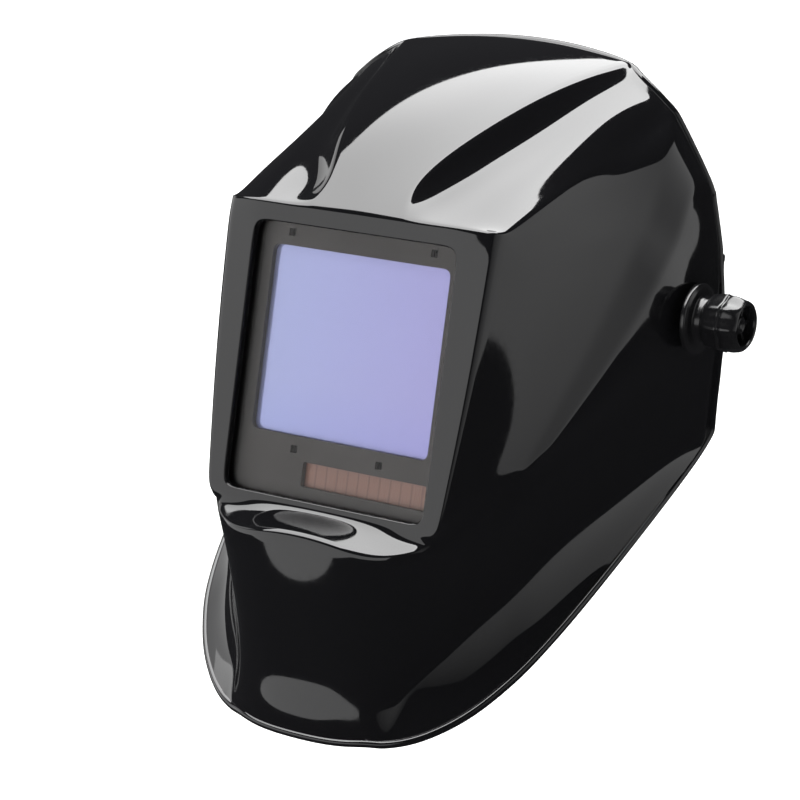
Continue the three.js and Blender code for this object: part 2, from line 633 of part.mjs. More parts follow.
function browband() {
  const stops = arcStops(-Math.PI, 0, 40, BAND_OFF, () => ({ z: BAND_Z, width: BAND_HEIGHT }));
  const tail = (side) => [0.35, 1].map((t) => ({
    at: new THREE.Vector3(side * (HEAD.halfWidth + BAND_OFF), HEAD.y + t * (TAIL.y - HEAD.y), 0),
    across: UP,
    width: TAIL.height,
  }));
  return ribbon([...tail(-1).reverse(), ...stops, ...tail(1)], BAND.thick);
}

function sweatband() {
  const span = 1.25;
  const shape = (t) => ({ z: BAND_Z + 1, width: 34 - 10 * Math.abs(2 * t - 1) ** 4 });
  return ribbon(arcStops(-Math.PI / 2 - span, -Math.PI / 2 + span, 28, 1.9, shape), 3.6);
}

const REAR = { drop: -44, front: 46, bend: 84, depth: 62.2, tailHeight: 7.5, thick: 2 };
const RATCHET = { halfWidth: 29, front: 137.2, back: 147.5, low: -60, high: -28 };
const PINION = { radius: 4.2, teeth: 8 };

// The left rear strap runs from beside the browband's tail, round the head and into the ratchet.
function rearStrap(side) {
  const x = HEAD.halfWidth + BAND_OFF - BAND.thick / 2 - REAR.thick / 2 - 0.5;
  const stops = [{ at: new THREE.Vector3(x, REAR.front, 0), across: UP, width: 13 }];
  const last = 1.187;
  for (let k = 0; k <= 18; k += 1) {
    const angle = (last * k) / 18;
    const fall = THREE.MathUtils.smoothstep(angle, 0.1, last);
    const width = 13 + 7 * THREE.MathUtils.smoothstep(angle, 0.1, 0.5);
    const y = REAR.bend + REAR.depth * Math.sin(angle);
    const at = new THREE.Vector3(x * Math.cos(angle), y, REAR.drop * fall);
    stops.push({ at, across: UP, width });
  }
  const y = (RATCHET.front + RATCHET.back) / 2;
  const tailZ = REAR.drop + side * 9.2;
  stops.push({ at: new THREE.Vector3(24, y, REAR.drop + side * 3), across: UP, width: 15 });
  stops.push({ at: new THREE.Vector3(15, y, tailZ), across: UP, width: REAR.tailHeight });
  stops.push({ at: new THREE.Vector3(-21, y, tailZ), across: UP, width: REAR.tailHeight });
  const strap = ribbon(stops, REAR.thick);
  return side > 0 ? strap : mirrored(strap);
}

function ratchetHousing() {
  const { halfWidth, front, back, low, high } = RATCHET;
  const outer = block(-halfWidth, halfWidth, front, back, low, high);
  const middle = (front + back) / 2;
  const channel = block(-halfWidth - 1, halfWidth + 1, middle - 2.6, middle + 2.4, low + 2, high - 2);
  const shaft = rod('y', 2.3, middle, back + 1, [0, REAR.drop], 20);
  return cut(outer, channel, shaft);
}

function ratchetKnob() {
  const start = RATCHET.back + GAP;
  const cap = new THREE.ExtrudeGeometry(fluted(17, 12, 1.2), {
    depth: 9,
    bevelThickness: 2,
    bevelSize: 1.5,
    bevelOffset: -1.5,
    bevelSegments: 1,
  });
  cap.rotateX(-Math.PI / 2);
  cap.translate(0, start + 2, REAR.drop);
  return join(cap, rod('y', 2, start - 6, start + 1, [0, REAR.drop], 20));
}

function ratchetPinion() {
  const middle = (RATCHET.front + RATCHET.back) / 2;
  const outline = fluted(PINION.radius, PINION.teeth, 0.9);
  const gear = new THREE.ExtrudeGeometry(outline, { depth: 2.4, bevelEnabled: false });
  gear.rotateX(-Math.PI / 2);
  gear.translate(0, middle - 1.6, REAR.drop);
  return cut(gear, rod('y', 2 + GAP, middle - 1, middle + 4, [0, REAR.drop], 20));
}

function rearPad() {
  const span = 0.52;
  const shape = (t) => ({ z: REAR.drop, width: 34 - 8 * Math.abs(2 * t - 1) ** 4 });
  return ribbon(arcStops(Math.PI / 2 - span, Math.PI / 2 + span, 16, -0.8, shape), 5.4);
}

// The crown straps stand off the band's outside and arch over the head.
const CROWN = { width: 15, thick: 1.6, off: 7.4, start: 18, top: 76 };

function crownStops(from, to, count, standoff, yAt) {
  return Array.from({ length: count + 1 }, (unused, k) => {
    const angle = from + ((to - from) * k) / count;
    const x = (HEAD.halfWidth + standoff) * Math.cos(angle);
    const z = CROWN.start + (CROWN.top + standoff - CROWN.off - CROWN.start) * Math.sin(angle);
    return { at: new THREE.Vector3(x, yAt(Math.sin(angle)), z), across: BACK, width: CROWN.width };
  });
}

function crownStrap(side) {
  const off = CROWN.off + (side > 0 ? 2.1 : 0);
  const hold = new THREE.Vector3(HEAD.halfWidth + CROWN.off, 41, -9);
  const foot = { at: hold, across: BACK, width: CROWN.width };
  const rise = crownStops(0, Math.PI / 2 + 0.3, 18, CROWN.off, (s) => 41 - 4 * s);
  rise.forEach((stop, k) => {
    const lift = (off - CROWN.off) * THREE.MathUtils.smoothstep(k, 9, 13);
    stop.at.z += lift;
  });
  const strap = ribbon([foot, ...rise], CROWN.thick);
  return side > 0 ? strap : mirrored(strap);
}

function bandKeeper(side) {
  const x0 = HEAD.halfWidth + 0.1;
  const x1 = HEAD.halfWidth + 8;
  const outer = block(x0, x1, 64, 72, -11, 11);
  const inner = block(x0 + 1.2, x1 - 1.3, 60, 76, -8.2, 8.2);
  const keeper = cut(outer, inner);
  return side > 0 ? keeper : mirrored(keeper);
}

// ---- assembly ----
const helmet = new THREE.Group();
helmet.add(faceFrame);

function add(name, geometry, look, parent = helmet) {
  const mesh = new THREE.Mesh(geometry, finish(...looks[look]));
  mesh.name = name;
  parent.add(mesh);
}

const sides = { left: 1, right: -1 };
const onBothSides = (name, make, look) => {
  const geometry = make();
  add(`${name}_left`, geometry, look);
  add(`${name}_right`, mirrored(geometry), look);
};

add('helmet_shell', helmetShell(), 'shell');
add('front_cover_lens', coverLens(), 'clear', faceFrame);
add('filter_housing_front', housingFront(), 'housing', faceFrame);
add('filter_housing_rear', housingRear(), 'housing', faceFrame);
add('filter_glass', plate(0, 0, VIEW.width + 4, VIEW.height + 4, 0.1, 4.1, 3), 'filter', faceFrame);
const solar = plate(SOLAR.x, SOLAR.v, SOLAR.width + 2, SOLAR.height + 2, 0.1, 1.6, 1);
add('solar_cell', solar, 'solar', faceFrame);
SENSORS.forEach(([x, v], k) => {
  add(`arc_sensor_${k + 1}`, plate(x, v, 5, 5, 0.1, 2.1, 0.6), 'sensor', faceFrame);
});
add('circuit_board', circuitBoard(), 'board', faceFrame);
for (const [side, sign] of Object.entries(sides)) {
  const x = sign * BATTERY.x;
  const cell = rod('y', BATTERY.radius, BATTERY.start, BATTERY.end, [x, CONTROL.v]);
  add(`battery_${side}`, cell, 'steel', faceFrame);
  add(`battery_cap_${side}`, batteryCap(x), 'satin', faceFrame);
}
DIALS.forEach((setting) => add(setting.name, dial(setting), 'satin', faceFrame));
const button = rod('y', TEST_BUTTON.radius, 15, 20.5, [TEST_BUTTON.x, TEST_BUTTON.v], 24);
add('test_button', button, 'satin', faceFrame);
add('inside_cover_lens', plate(0, 3, 98.4, 76, 13.3, 14.3, 1), 'clear', faceFrame);
add('cartridge_retainer', retainer(), 'satin', faceFrame);
add('retainer_latch', retainerLatch(), 'satin', faceFrame);
POSTS.forEach((post, k) => add(`retainer_screw_${k + 1}`, retainerScrew(post), 'steel', faceFrame));

onBothSides('tension_knob', tensionKnob, 'satin');
onBothSides('pivot_collar', pivotCollar, 'satin');
onBothSides('friction_washer', frictionWasher, 'foam');
onBothSides('pivot_stud', pivotStud, 'steel');
onBothSides('reach_slider', reachSlider, 'satin');
onBothSides('side_bracket', sideBracket, 'band');

add('browband', browband(), 'band');
add('sweatband', sweatband(), 'foam');
for (const [side, sign] of Object.entries(sides)) {
  add(`rear_strap_${side}`, rearStrap(sign), 'band');
  add(`crown_strap_${side}`, crownStrap(sign), 'band');
  add(`band_keeper_${side}`, bandKeeper(sign), 'satin');
}
add('ratchet_housing', ratchetHousing(), 'satin');
add('ratchet_knob', ratchetKnob(), 'satin');
add('ratchet_pinion', ratchetPinion(), 'satin');
add('rear_pad', rearPad(), 'foam');

helmet.updateMatrixWorld(true);
export default helmet;
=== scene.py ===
import json
import math

import bmesh
import bpy
from mathutils import Matrix, Vector


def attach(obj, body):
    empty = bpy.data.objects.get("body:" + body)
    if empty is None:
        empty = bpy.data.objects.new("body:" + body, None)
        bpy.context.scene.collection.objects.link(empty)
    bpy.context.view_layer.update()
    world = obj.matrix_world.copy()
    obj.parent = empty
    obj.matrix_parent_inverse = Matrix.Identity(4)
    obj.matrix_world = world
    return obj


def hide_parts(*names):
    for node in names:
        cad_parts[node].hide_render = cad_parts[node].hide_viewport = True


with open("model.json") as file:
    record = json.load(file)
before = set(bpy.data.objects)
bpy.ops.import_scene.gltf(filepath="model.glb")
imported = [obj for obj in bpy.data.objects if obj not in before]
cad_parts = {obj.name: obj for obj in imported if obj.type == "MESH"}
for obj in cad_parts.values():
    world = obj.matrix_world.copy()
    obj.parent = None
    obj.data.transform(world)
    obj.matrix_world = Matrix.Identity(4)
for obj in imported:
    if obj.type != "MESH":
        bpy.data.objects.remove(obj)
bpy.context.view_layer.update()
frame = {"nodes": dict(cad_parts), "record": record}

MM = 0.001
SCENE = bpy.context.scene
BEVEL_ANGLE = math.radians(35)

# ---------------------------------------------------------------- the slanted face
TILT = math.radians(13.34)
WINDOW_CENTRE = Vector((0, -110, -7))
FACE_UP = Vector((0, math.sin(TILT), math.cos(TILT)))
FACE_OUT = Vector((0, -math.cos(TILT), math.sin(TILT)))


def face_point(x, v, h):
    """A point in mm: across, up the face from the glass centre, and out in front of the glass."""
    return Vector((x, 0, 0)) + WINDOW_CENTRE + v * FACE_UP + h * FACE_OUT


# ---------------------------------------------------------------- materials
def node_material(name, color, roughness, metallic=0.0, **sockets):
    """A new Principled material; returns it with its node tree and shader node."""
    material = bpy.data.materials.new(name)
    material.use_nodes = True
    shader = material.node_tree.nodes["Principled BSDF"]
    shader.inputs["Base Color"].default_value = (*color, 1)
    shader.inputs["Roughness"].default_value = roughness
    shader.inputs["Metallic"].default_value = metallic
    for socket, value in sockets.items():
        shader.inputs[socket.replace("_", " ")].default_value = value
    return material, material.node_tree, shader


def link(tree, source, output, target, socket):
    """Links a node's output to another node's input."""
    tree.links.new(source.outputs[output], target.inputs[socket])


def noise(tree, scale, detail=3.0, rough=0.5):
    """A noise texture in object space."""
    place = tree.nodes.new("ShaderNodeTexCoord")
    texture = tree.nodes.new("ShaderNodeTexNoise")
    texture.inputs["Scale"].default_value = scale
    texture.inputs["Detail"].default_value = detail
    texture.inputs["Roughness"].default_value = rough
    link(tree, place, "Object", texture, "Vector")
    return texture


def ramp(tree, source, output, low, high, start, end):
    """A colour ramp between two colours over part of the source's range."""
    node = tree.nodes.new("ShaderNodeValToRGB")
    node.color_ramp.elements[0].position = start
    node.color_ramp.elements[0].color = (*low, 1)
    node.color_ramp.elements[1].position = end
    node.color_ramp.elements[1].color = (*high, 1)
    link(tree, source, output, node, "Fac")
    return node


def bump(tree, shader, source, output, strength, distance):
    """Raises and lowers the shader's surface by a texture. distance is in metres."""
    node = tree.nodes.new("ShaderNodeBump")
    node.inputs["Strength"].default_value = strength
    node.inputs["Distance"].default_value = distance
    link(tree, source, output, node, "Height")
    link(tree, node, "Normal", shader, "Normal")


def plastic(name, color, roughness, grain=900, strength=0.15, spread=0.08):
    """Moulded plastic: fine grain bump, and roughness that varies slightly over the surface."""
    material, tree, shader = node_material(name, color, roughness)
    texture = noise(tree, grain)
    bump(tree, shader, texture, "Fac", strength, 0.00015)
    wear = noise(tree, 35, 4)
    tone = ramp(tree, wear, "Fac", (roughness - spread,) * 3, (roughness + spread,) * 3, 0.3, 0.7)
    link(tree, tone, "Color", shader, "Roughness")
    return material


def gloss_shell():
    """Polished black nylon: a clear deep gloss whose polish varies very finely."""
    material, tree, shader = node_material("gloss_black_shell", (0.004, 0.004, 0.0045), 0.05, IOR=1.5)
    polish = noise(tree, 420, 4, 0.65)
    tone = ramp(tree, polish, "Fac", (0.03,) * 3, (0.075,) * 3, 0.35, 0.75)
    link(tree, tone, "Color", shader, "Roughness")
    return material


def tinted_filter():
    """The filter glass: a lilac interference coating, more violet to one side, with a satin gloss."""
    material, tree, shader = node_material("coated_filter_glass", (0.4, 0.4, 0.72), 0.12, 0.35)
    place = tree.nodes.new("ShaderNodeTexCoord")
    split = tree.nodes.new("ShaderNodeSeparateXYZ")
    link(tree, place, "Generated", split, 0)
    across = ramp(tree, split, "X", (0.35, 0.4, 0.69), (0.34, 0.34, 0.66), 0.05, 0.95)
    rise = ramp(tree, split, "Z", (0.9, 0.92, 1.0), (1.0, 1.0, 1.0), 0.0, 0.3)
    mix = tree.nodes.new("ShaderNodeMix")
    mix.data_type = "RGBA"
    mix.blend_type = "MULTIPLY"
    mix.inputs["Factor"].default_value = 1
    tree.links.new(across.outputs["Color"], mix.inputs["A"])
    tree.links.new(rise.outputs["Color"], mix.inputs["B"])
    tree.links.new(mix.outputs["Result"], shader.inputs["Base Color"])
    cloud = noise(tree, 25, 2)
    tone = ramp(tree, cloud, "Fac", (0.09,) * 3, (0.15,) * 3, 0.3, 0.7)
    link(tree, tone, "Color", shader, "Roughness")
    return material


def clear_plastic(name, tint):
    """Thin clear sheet: what is behind shows through, with a gloss that grows at a grazing angle."""
    material, tree, _ = node_material(name, (0.02, 0.02, 0.02), 0.02)
    through = tree.nodes.new("ShaderNodeBsdfTransparent")
    through.inputs["Color"].default_value = (*tint, 1)
    gloss = tree.nodes.new("ShaderNodeBsdfGlossy")
    haze = noise(tree, 60, 5, 0.7)
    tone = ramp(tree, haze, "Fac", (0.01,) * 3, (0.03,) * 3, 0.35, 0.75)
    link(tree, tone, "Color", gloss, "Roughness")
    edge = tree.nodes.new("ShaderNodeFresnel")
    edge.inputs["IOR"].default_value = 1.25
    mix = tree.nodes.new("ShaderNodeMixShader")
    link(tree, edge, "Fac", mix, 0)
    tree.links.new(through.outputs[0], mix.inputs[1])
    tree.links.new(gloss.outputs[0], mix.inputs[2])
    tree.links.new(mix.outputs[0], tree.nodes["Material Output"].inputs["Surface"])
    return material


def solar_cells():
    """Amorphous solar cell: brown strips with fine dark lines between them, under a glossy cover."""
    material, tree, shader = node_material("solar_cell_strips", (0.4, 0.2, 0.15), 0.35)
    place = tree.nodes.new("ShaderNodeTexCoord")
    wave = tree.nodes.new("ShaderNodeTexWave")
    wave.bands_direction = "X"
    wave.inputs["Scale"].default_value = 55
    link(tree, place, "Object", wave, "Vector")
    strips = ramp(tree, wave, "Color", (0.2, 0.1, 0.075), (0.27, 0.14, 0.105), 0.02, 0.12)
    link(tree, strips, "Color", shader, "Base Color")
    bump(tree, shader, wave, "Color", 0.1, 0.0001)
    return material


def brushed_steel():
    """Bright steel with fine scratches that vary its gloss."""
    material, tree, shader = node_material("brushed_steel", (0.55, 0.55, 0.53), 0.3, 1.0)
    scratches = noise(tree, 1500, 2)
    tone = ramp(tree, scratches, "Fac", (0.22,) * 3, (0.42,) * 3, 0.3, 0.7)
    link(tree, tone, "Color", shader, "Roughness")
    bump(tree, shader, scratches, "Fac", 0.1, 0.0001)
    return material


def solder_mask():
    """Green circuit board with a grid of lighter tracks."""
    material, tree, shader = node_material("solder_mask", (0.01, 0.08, 0.02), 0.35)
    place = tree.nodes.new("ShaderNodeTexCoord")
    tracks = tree.nodes.new("ShaderNodeTexBrick")
    tracks.inputs["Scale"].default_value = 60
    tracks.inputs["Color1"].default_value = (0.008, 0.06, 0.018, 1)
    tracks.inputs["Color2"].default_value = (0.012, 0.075, 0.022, 1)
    tracks.inputs["Mortar"].default_value = (0.03, 0.17, 0.05, 1)
    tracks.inputs["Mortar Size"].default_value = 0.03
    link(tree, place, "Object", tracks, "Vector")
    link(tree, tracks, "Color", shader, "Base Color")
    bump(tree, shader, tracks, "Fac", 0.2, 0.0001)
    return material


def knitted_cloth():
    """Black knitted cover: fine crossed yarns along the cloth's own directions, with a soft sheen."""
    material, tree, shader = node_material("knitted_cloth", (0.022, 0.022, 0.024), 0.95,
                                           Sheen_Weight=0.35, Sheen_Roughness=0.5)
    place = tree.nodes.new("ShaderNodeTexCoord")
    yarns = []
    for direction in ("X", "Y"):
        wave = tree.nodes.new("ShaderNodeTexWave")
        wave.bands_direction = direction
        wave.inputs["Scale"].default_value = 330
        wave.inputs["Distortion"].default_value = 0.6
        link(tree, place, "UV", wave, "Vector")
        yarns.append(wave)
    knit = tree.nodes.new("ShaderNodeMath")
    knit.operation = "MULTIPLY"
    for k, wave in enumerate(yarns):
        tree.links.new(wave.outputs["Fac"], knit.inputs[k])
    tone = ramp(tree, knit, 0, (0.012, 0.012, 0.013), (0.05, 0.05, 0.054), 0.1, 0.8)
    link(tree, tone, "Color", shader, "Base Color")
    bump(tree, shader, knit, 0, 0.7, 0.0003)
    return material


LOOKS = {
    "shell": gloss_shell(),
    "knob": plastic("knob_plastic", (0.005, 0.005, 0.0055), 0.2, strength=0.08, spread=0.05),
    "satin": plastic("satin_black_plastic", (0.012, 0.012, 0.0125), 0.3, strength=0.2),
    "housing": plastic("cartridge_plastic", (0.02, 0.018, 0.0175), 0.42, grain=1400, strength=0.12),
    "band": plastic("headband_nylon", (0.02, 0.02, 0.022), 0.48, grain=700, strength=0.35),
    "filter": tinted_filter(),
    "lens": clear_plastic("clear_cover_plastic", (0.98, 0.972, 0.968)),
    "solar": solar_cells(),
    "sensor": plastic("sensor_window", (0.006, 0.006, 0.008), 0.08, grain=300, strength=0.05, spread=0.03),
    "board": solder_mask(),
    "steel": brushed_steel(),
    "washer": plastic("friction_fibre", (0.05, 0.045, 0.04), 0.8, grain=2200, strength=0.6),
    "cloth": knitted_cloth(),
    "thread": plastic("sewing_thread", (0.16, 0.16, 0.165), 0.7, grain=4000, strength=0.5),
}

# ---------------------------------------------------------------- the shell
SHELL_WALL = 2.5
OPENING = {"half": 55.1, "top": 53.7, "bottom": -71}
FACE_HEIGHT = 11
ACROSS = [0, 13, 25, 33, 43, OPENING["half"]]
# Rings of the window's return wall: depth behind the face, and step inwards.
RETURN_STEPS = [(0, 0.45), (0.15, 0.8), (0.7, 1.05), (1.8, 1.1), (3.6, 1.1)]

def face_row(v, across, edge, edge_height, side):
    """A cage row on the slanted face, out to its edge, then down the side."""
    flat = [face_point(x, v, FACE_HEIGHT) for x in across]
    return [*flat, face_point(edge, v, edge_height), *side]


# Left half of the control cage, in mm. Rows run from the centre line outwards: centre, hood (2), hood
# wall foot, valley, window edge, face edge, side (2), band valley, band ridge, rear, rear edge.
CAGE = {
    "rim": [
        (0, -159.8, -176), (11, -159.3, -176), (20, -157.8, -176), (28, -155.8, -175.5), (34, -153.3, -175),
        (39, -151.3, -175), (43.5, -149.5, -174.5), (56, -143, -172), (73, -129, -162), (84, -114, -149.5),
        (92, -100, -138.5), (104, -60, -111), (112.5, 27, -65.5),
    ],
    "flare": [
        (0, -159.5, -164), (11, -159, -164), (20, -157.5, -164), (28, -155, -164), (34.5, -152, -163.5),
        (40, -147.5, -163), (45, -141, -162.5), (55, -134, -158), (69, -120, -149), (79, -104, -137),
        (87, -90, -126.5), (99, -50, -99), (112.5, 27, -59),
    ],
    "chinLow": [
        (0, -156.5, -149), (11, -156, -149), (21, -155, -149), (30, -152, -149), (37, -148, -149),
        (43, -141.5, -149), (47, -135.5, -148.5), (56, -127, -144), (68, -112, -134), (77, -96, -122),
        (85, -82, -112), (97, -44, -87), (113, 27, -52),
    ],
    "chinMid": [
        (0, -157, -127), (12, -156.5, -127), (22, -155, -127), (31, -152, -127), (38, -148, -126.5),
        (44, -142.5, -126), (48.5, -136, -125.5), (58, -124, -121), (68, -109, -113), (76, -96, -104),
        (83, -82, -95), (97, -42, -73), (113.5, 27, -44),
    ],
    "chinTop": [
        (0, -157, -105), (13, -156.5, -105), (24, -155, -105), (34, -151.5, -104.5), (42, -147.5, -104),
        (48, -142.5, -103.5), (53, -136, -102.5), (62, -124, -96), (69, -111, -91), (75, -100, -86),
        (81, -88, -79), (97, -40, -57), (114.5, 27, -35),
    ],
    "lip": [
        (0, -155, -81.4), (13, -155, -82), (23, -154.5, -83.6), (32, -152.5, -85.2), (41, -149.5, -85.8),
        (50.5, -144.5, -84), (58, -137, -82.5), (64, -129.5, -82), (70.5, -115, -78.5), (76.5, -102, -73.5),
        (81, -93, -68), (98, -40, -43), (115, 27, -26),
    ],
    "shelf": [
        (0, -146, -77.8), (13, -145.5, -78.3), (25, -144, -79.8), (34, -142, -81), (43, -139.5, -81.2),
        (51.5, -138, -81.4), (58.5, -136.5, -80.3), (65, -126.5, -77.5), (71.5, -112.5, -73.5),
        (77, -100.5, -68.5),
        (81.5, -92, -63), (98.5, -40, -38), (115.5, 27, -22.5),
    ],
    "faceLow": face_row(-74.5, [0, 13, 25, 34, 43, 51.5], 59.8, 10.4, [
        (66, -124, -71.5), (72, -110, -68), (77.5, -99, -63), (82, -91, -58), (99, -40, -33),
        (115.5, 27, -19),
    ]),
    "windowLow": face_row(OPENING["bottom"], ACROSS, 62.5, 10.8, [
        (67.5, -122, -64), (74, -108.5, -60), (80, -96, -54.5), (85, -88, -50), (101, -40, -25),
        (116, 27, -12),
    ]),
    "windowLowIn": face_row(-60, ACROSS, 63.6, 10.7, [
        (69, -118.5, -55.5), (76, -103, -50.5), (83, -88.5, -44.5), (88, -80.5, -42.5),
        (102.5, -37.5, -21.5), (116, 27, -10),
    ]),
    "windowMid": face_row(-8, ACROSS, 68.2, 10, [
        (75, -101, -12), (85, -76, -6), (93.5, -54, 0), (100, -47, -7), (109.5, -22, -3), (115.5, 27, 3),
    ]),
    "windowHighIn": face_row(43, ACROSS, 70.4, 9, [
        (78, -86.5, 28.5), (88.5, -53.5, 29.5), (97, -29.5, 30.5), (106.5, -25, 19), (113, -4, 12.5),
        (114.5, 27, 17),
    ]),
    "windowTop": face_row(OPENING["top"], ACROSS, 70.6, 8.8, [
        (78.5, -84, 36), (88.5, -50, 35), (97, -26, 35), (107, -22, 23), (113, 0, 15), (114, 27, 20),
    ]),
    "faceTop": face_row(61.5, ACROSS, 70.6, 7.8, [
        (79.5, -76, 42), (89.5, -42, 40), (97.5, -20, 41), (107.5, -15, 30), (113, 6, 22), (114, 27, 24),
    ]),
    "hoodLow": [
        (0, -94.5, 69.5), (13, -94, 69), (20.5, -94, 67.8), (28.5, -93, 60.8), (41, -96, 59.3),
        (56, -98.5, 59), (72, -97, 53.5), (82, -65, 49), (91, -32, 45), (97.5, -12, 47),
        (107.5, -6, 37), (113, 12, 27), (113.5, 27, 29),
    ],
    "hoodMid": [
        (0, -70, 91), (17, -70, 90), (33, -74, 82.5), (41, -72, 73), (51, -74, 70),
        (63, -75, 68.5), (75, -74, 60.5), (82.5, -44, 59), (91, -17, 60), (97, -2, 62.5),
        (107, 3, 50.5), (112, 16, 38), (112, 27, 37.5),
    ],
    "hoodHigh": [
        (0, -34, 105), (22, -34.5, 103.5), (43.5, -36, 97), (51.5, -36, 86), (60, -38, 81.5),
        (69, -39, 79), (78, -36, 71), (84, -16, 71.5), (90, -2, 73.5), (95, 7, 74.5),
        (106, 11.5, 58), (110.5, 19, 47), (110.5, 27, 45.5),
    ],
    "panelFront": [
        (0, -2, 112.5), (26, -2.5, 111), (52, -1, 105), (58.5, -3, 96.5), (66, -5, 93),
        (73, -5, 89.5), (81, -4, 79.5), (85, 7, 81), (88.5, 12, 82.5), (92, 16, 83),
        (105, 19, 61.5), (109.5, 23, 53), (109.5, 27, 50),
    ],
    "crest": [
        (0, 29, 115), (31, 28.5, 113.5), (61, 28.5, 109), (66, 22, 103), (72, 20, 98.5),
        (79, 20, 94.5), (84, 21, 90.5), (86, 21.5, 89.5), (87.5, 22, 88.5), (89, 22.5, 87),
        (104, 23, 63), (109, 25, 55.5), (109, 27, 52.5),
    ],
    "rearRim": [
        (0, 42, 113.5), (31, 40, 112), (62, 32.5, 108), (67, 28.5, 105.5), (73, 27, 101.5),
        (79.5, 26.5, 97), (84, 26.5, 93), (86, 26.5, 91.5), (88, 26.5, 89.5), (90, 27, 87),
        (104, 27, 64), (107, 27, 57.5), (108.5, 27, 53),
    ],
}
ROWS = list(CAGE)
SIDE = len(CAGE["rim"]) - 1
OPEN_ROWS = (ROWS.index("windowLow"), ROWS.index("windowTop"))
OPEN_COLUMN = len(ACROSS) - 1

# Creases along columns (column, first row, last row, sharpness) and rows (row, first, last, sharpness).
COLUMN_CREASES = [
    (2, "faceTop", "rearRim", 0.5), (3, "hoodMid", "rearRim", 0.35), (6, "shelf", "rearRim", 0.62),
    (6, "rim", "chinLow", 0.35), (9, "windowLow", "rearRim", 0.4), (10, "windowLow", "rearRim", 0.6),
]
ROW_CREASES = [
    ("lip", 0, 6, 0.7), ("faceTop", 0, 6, 0.55), ("crest", 0, 12, 0.6),
]


def crease_of(kind, line, place):
    """The sharpness of the cage edge that starts at a place along a column or a row."""
    best = 0
    if kind == "column":
        for column, first, last, sharp in COLUMN_CREASES:
            if column == line and ROWS.index(first) <= place < ROWS.index(last):
                best = max(best, sharp)
    else:
        for row, first, last, sharp in ROW_CREASES:
            if ROWS.index(row) == line and first <= place < last:
                best = max(best, sharp)
    return best


def build_shell():
    """The shell as a subdivided cage with the window's return wall, given its wall thickness."""
    mesh = bmesh.new()
    crease = mesh.edges.layers.float.new("crease_edge")
    verts = {}
    for i, row in enumerate(ROWS):
        for j in range(-SIDE, SIDE + 1):
            x, y, z = CAGE[row][abs(j)]
            inside = OPEN_ROWS[0] < i < OPEN_ROWS[1] and abs(j) < OPEN_COLUMN
            if not inside:
                verts[i, j] = mesh.verts.new(Vector((math.copysign(x, j) if j else 0, y, z)) * MM)
    for i in range(len(ROWS) - 1):
        for j in range(-SIDE, SIDE):
            hole = OPEN_ROWS[0] <= i < OPEN_ROWS[1] and -OPEN_COLUMN <= j < OPEN_COLUMN
            if not hole:
                mesh.faces.new([verts[i, j], verts[i, j + 1], verts[i + 1, j + 1], verts[i + 1, j]])
    for (i, j), vert in verts.items():
        if (i + 1, j) in verts:
            edge = mesh.edges.get([vert, verts[i + 1, j]])
            if edge:
                edge[crease] = crease_of("column", abs(j), i)
        if (i, j + 1) in verts:
            edge = mesh.edges.get([vert, verts[i, j + 1]])
            if edge:
                edge[crease] = crease_of("row", i, min(abs(j), abs(j + 1)))
    low, top = OPEN_ROWS
    loop = [(low, j) for j in range(-OPEN_COLUMN, OPEN_COLUMN)]
    loop += [(i, OPEN_COLUMN) for i in range(low, top)]
    loop += [(top, j) for j in range(OPEN_COLUMN, -OPEN_COLUMN, -1)]
    loop += [(i, -OPEN_COLUMN) for i in range(top, low, -1)]
    ring = [verts[key] for key in loop]
    for depth, inset in RETURN_STEPS:
        deeper = []
        for i, j in loop:
            inward = Vector((-math.copysign(1, j) if abs(j) == OPEN_COLUMN else 0, 0, 0))
            inward += FACE_UP * ((i == low) - (i == top))
            start = verts[i, j].co
            deeper.append(mesh.verts.new(start + (inward * inset - FACE_OUT * depth) * MM))
        for k in range(len(ring)):
            n = (k + 1) % len(ring)
            mesh.faces.new([ring[k], ring[n], deeper[n], deeper[k]])
        ring = deeper
    data = bpy.data.meshes.new("shell_surface")
    mesh.normal_update()
    mesh.to_mesh(data)
    mesh.free()
    shell = bpy.data.objects.new("shell_surface", data)
    SCENE.collection.objects.link(shell)
    data.materials.append(LOOKS["shell"])
    for face in data.polygons:
        face.use_smooth = True
    smooth = shell.modifiers.new("Smooth", "SUBSURF")
    smooth.levels = smooth.render_levels = 3
    wall = shell.modifiers.new("Wall", "SOLIDIFY")
    wall.thickness = SHELL_WALL * MM
    wall.offset = -1
    wall.use_even_offset = False
    return shell


shell = build_shell()
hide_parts("helmet_shell")
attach(shell, "shell")

# ---------------------------------------------------------------- general builders
BODY_OF = {node: body for body, nodes in frame["record"]["behaviour"]["bodies"].items() for node in nodes}


def make_piece(name, verts, faces, look, smooth=True):
    """A mesh object from points in mm and faces."""
    data = bpy.data.meshes.new(name)
    data.from_pydata([Vector(v) * MM for v in verts], [], faces)
    data.validate()
    data.materials.append(look)
    for face in data.polygons:
        face.use_smooth = smooth
    obj = bpy.data.objects.new(name, data)
    SCENE.collection.objects.link(obj)
    mesh = bmesh.new()
    mesh.from_mesh(data)
    bmesh.ops.recalc_face_normals(mesh, faces=mesh.faces)
    mesh.to_mesh(data)
    mesh.free()
    return obj


def rounded(obj, width, segments=3):
    """Rounds the piece's edges and keeps its flats flat."""
    bevel = obj.modifiers.new("Edges", "BEVEL")
    bevel.width = width * MM
    bevel.segments = segments
    bevel.limit_method = "ANGLE"
    bevel.angle_limit = BEVEL_ANGLE
    bevel.harden_normals = True
    return obj


def stands_for(obj, node):
    """The piece takes the place of a CAD node and moves with its body."""
    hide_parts(node)
    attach(obj, BODY_OF[node])


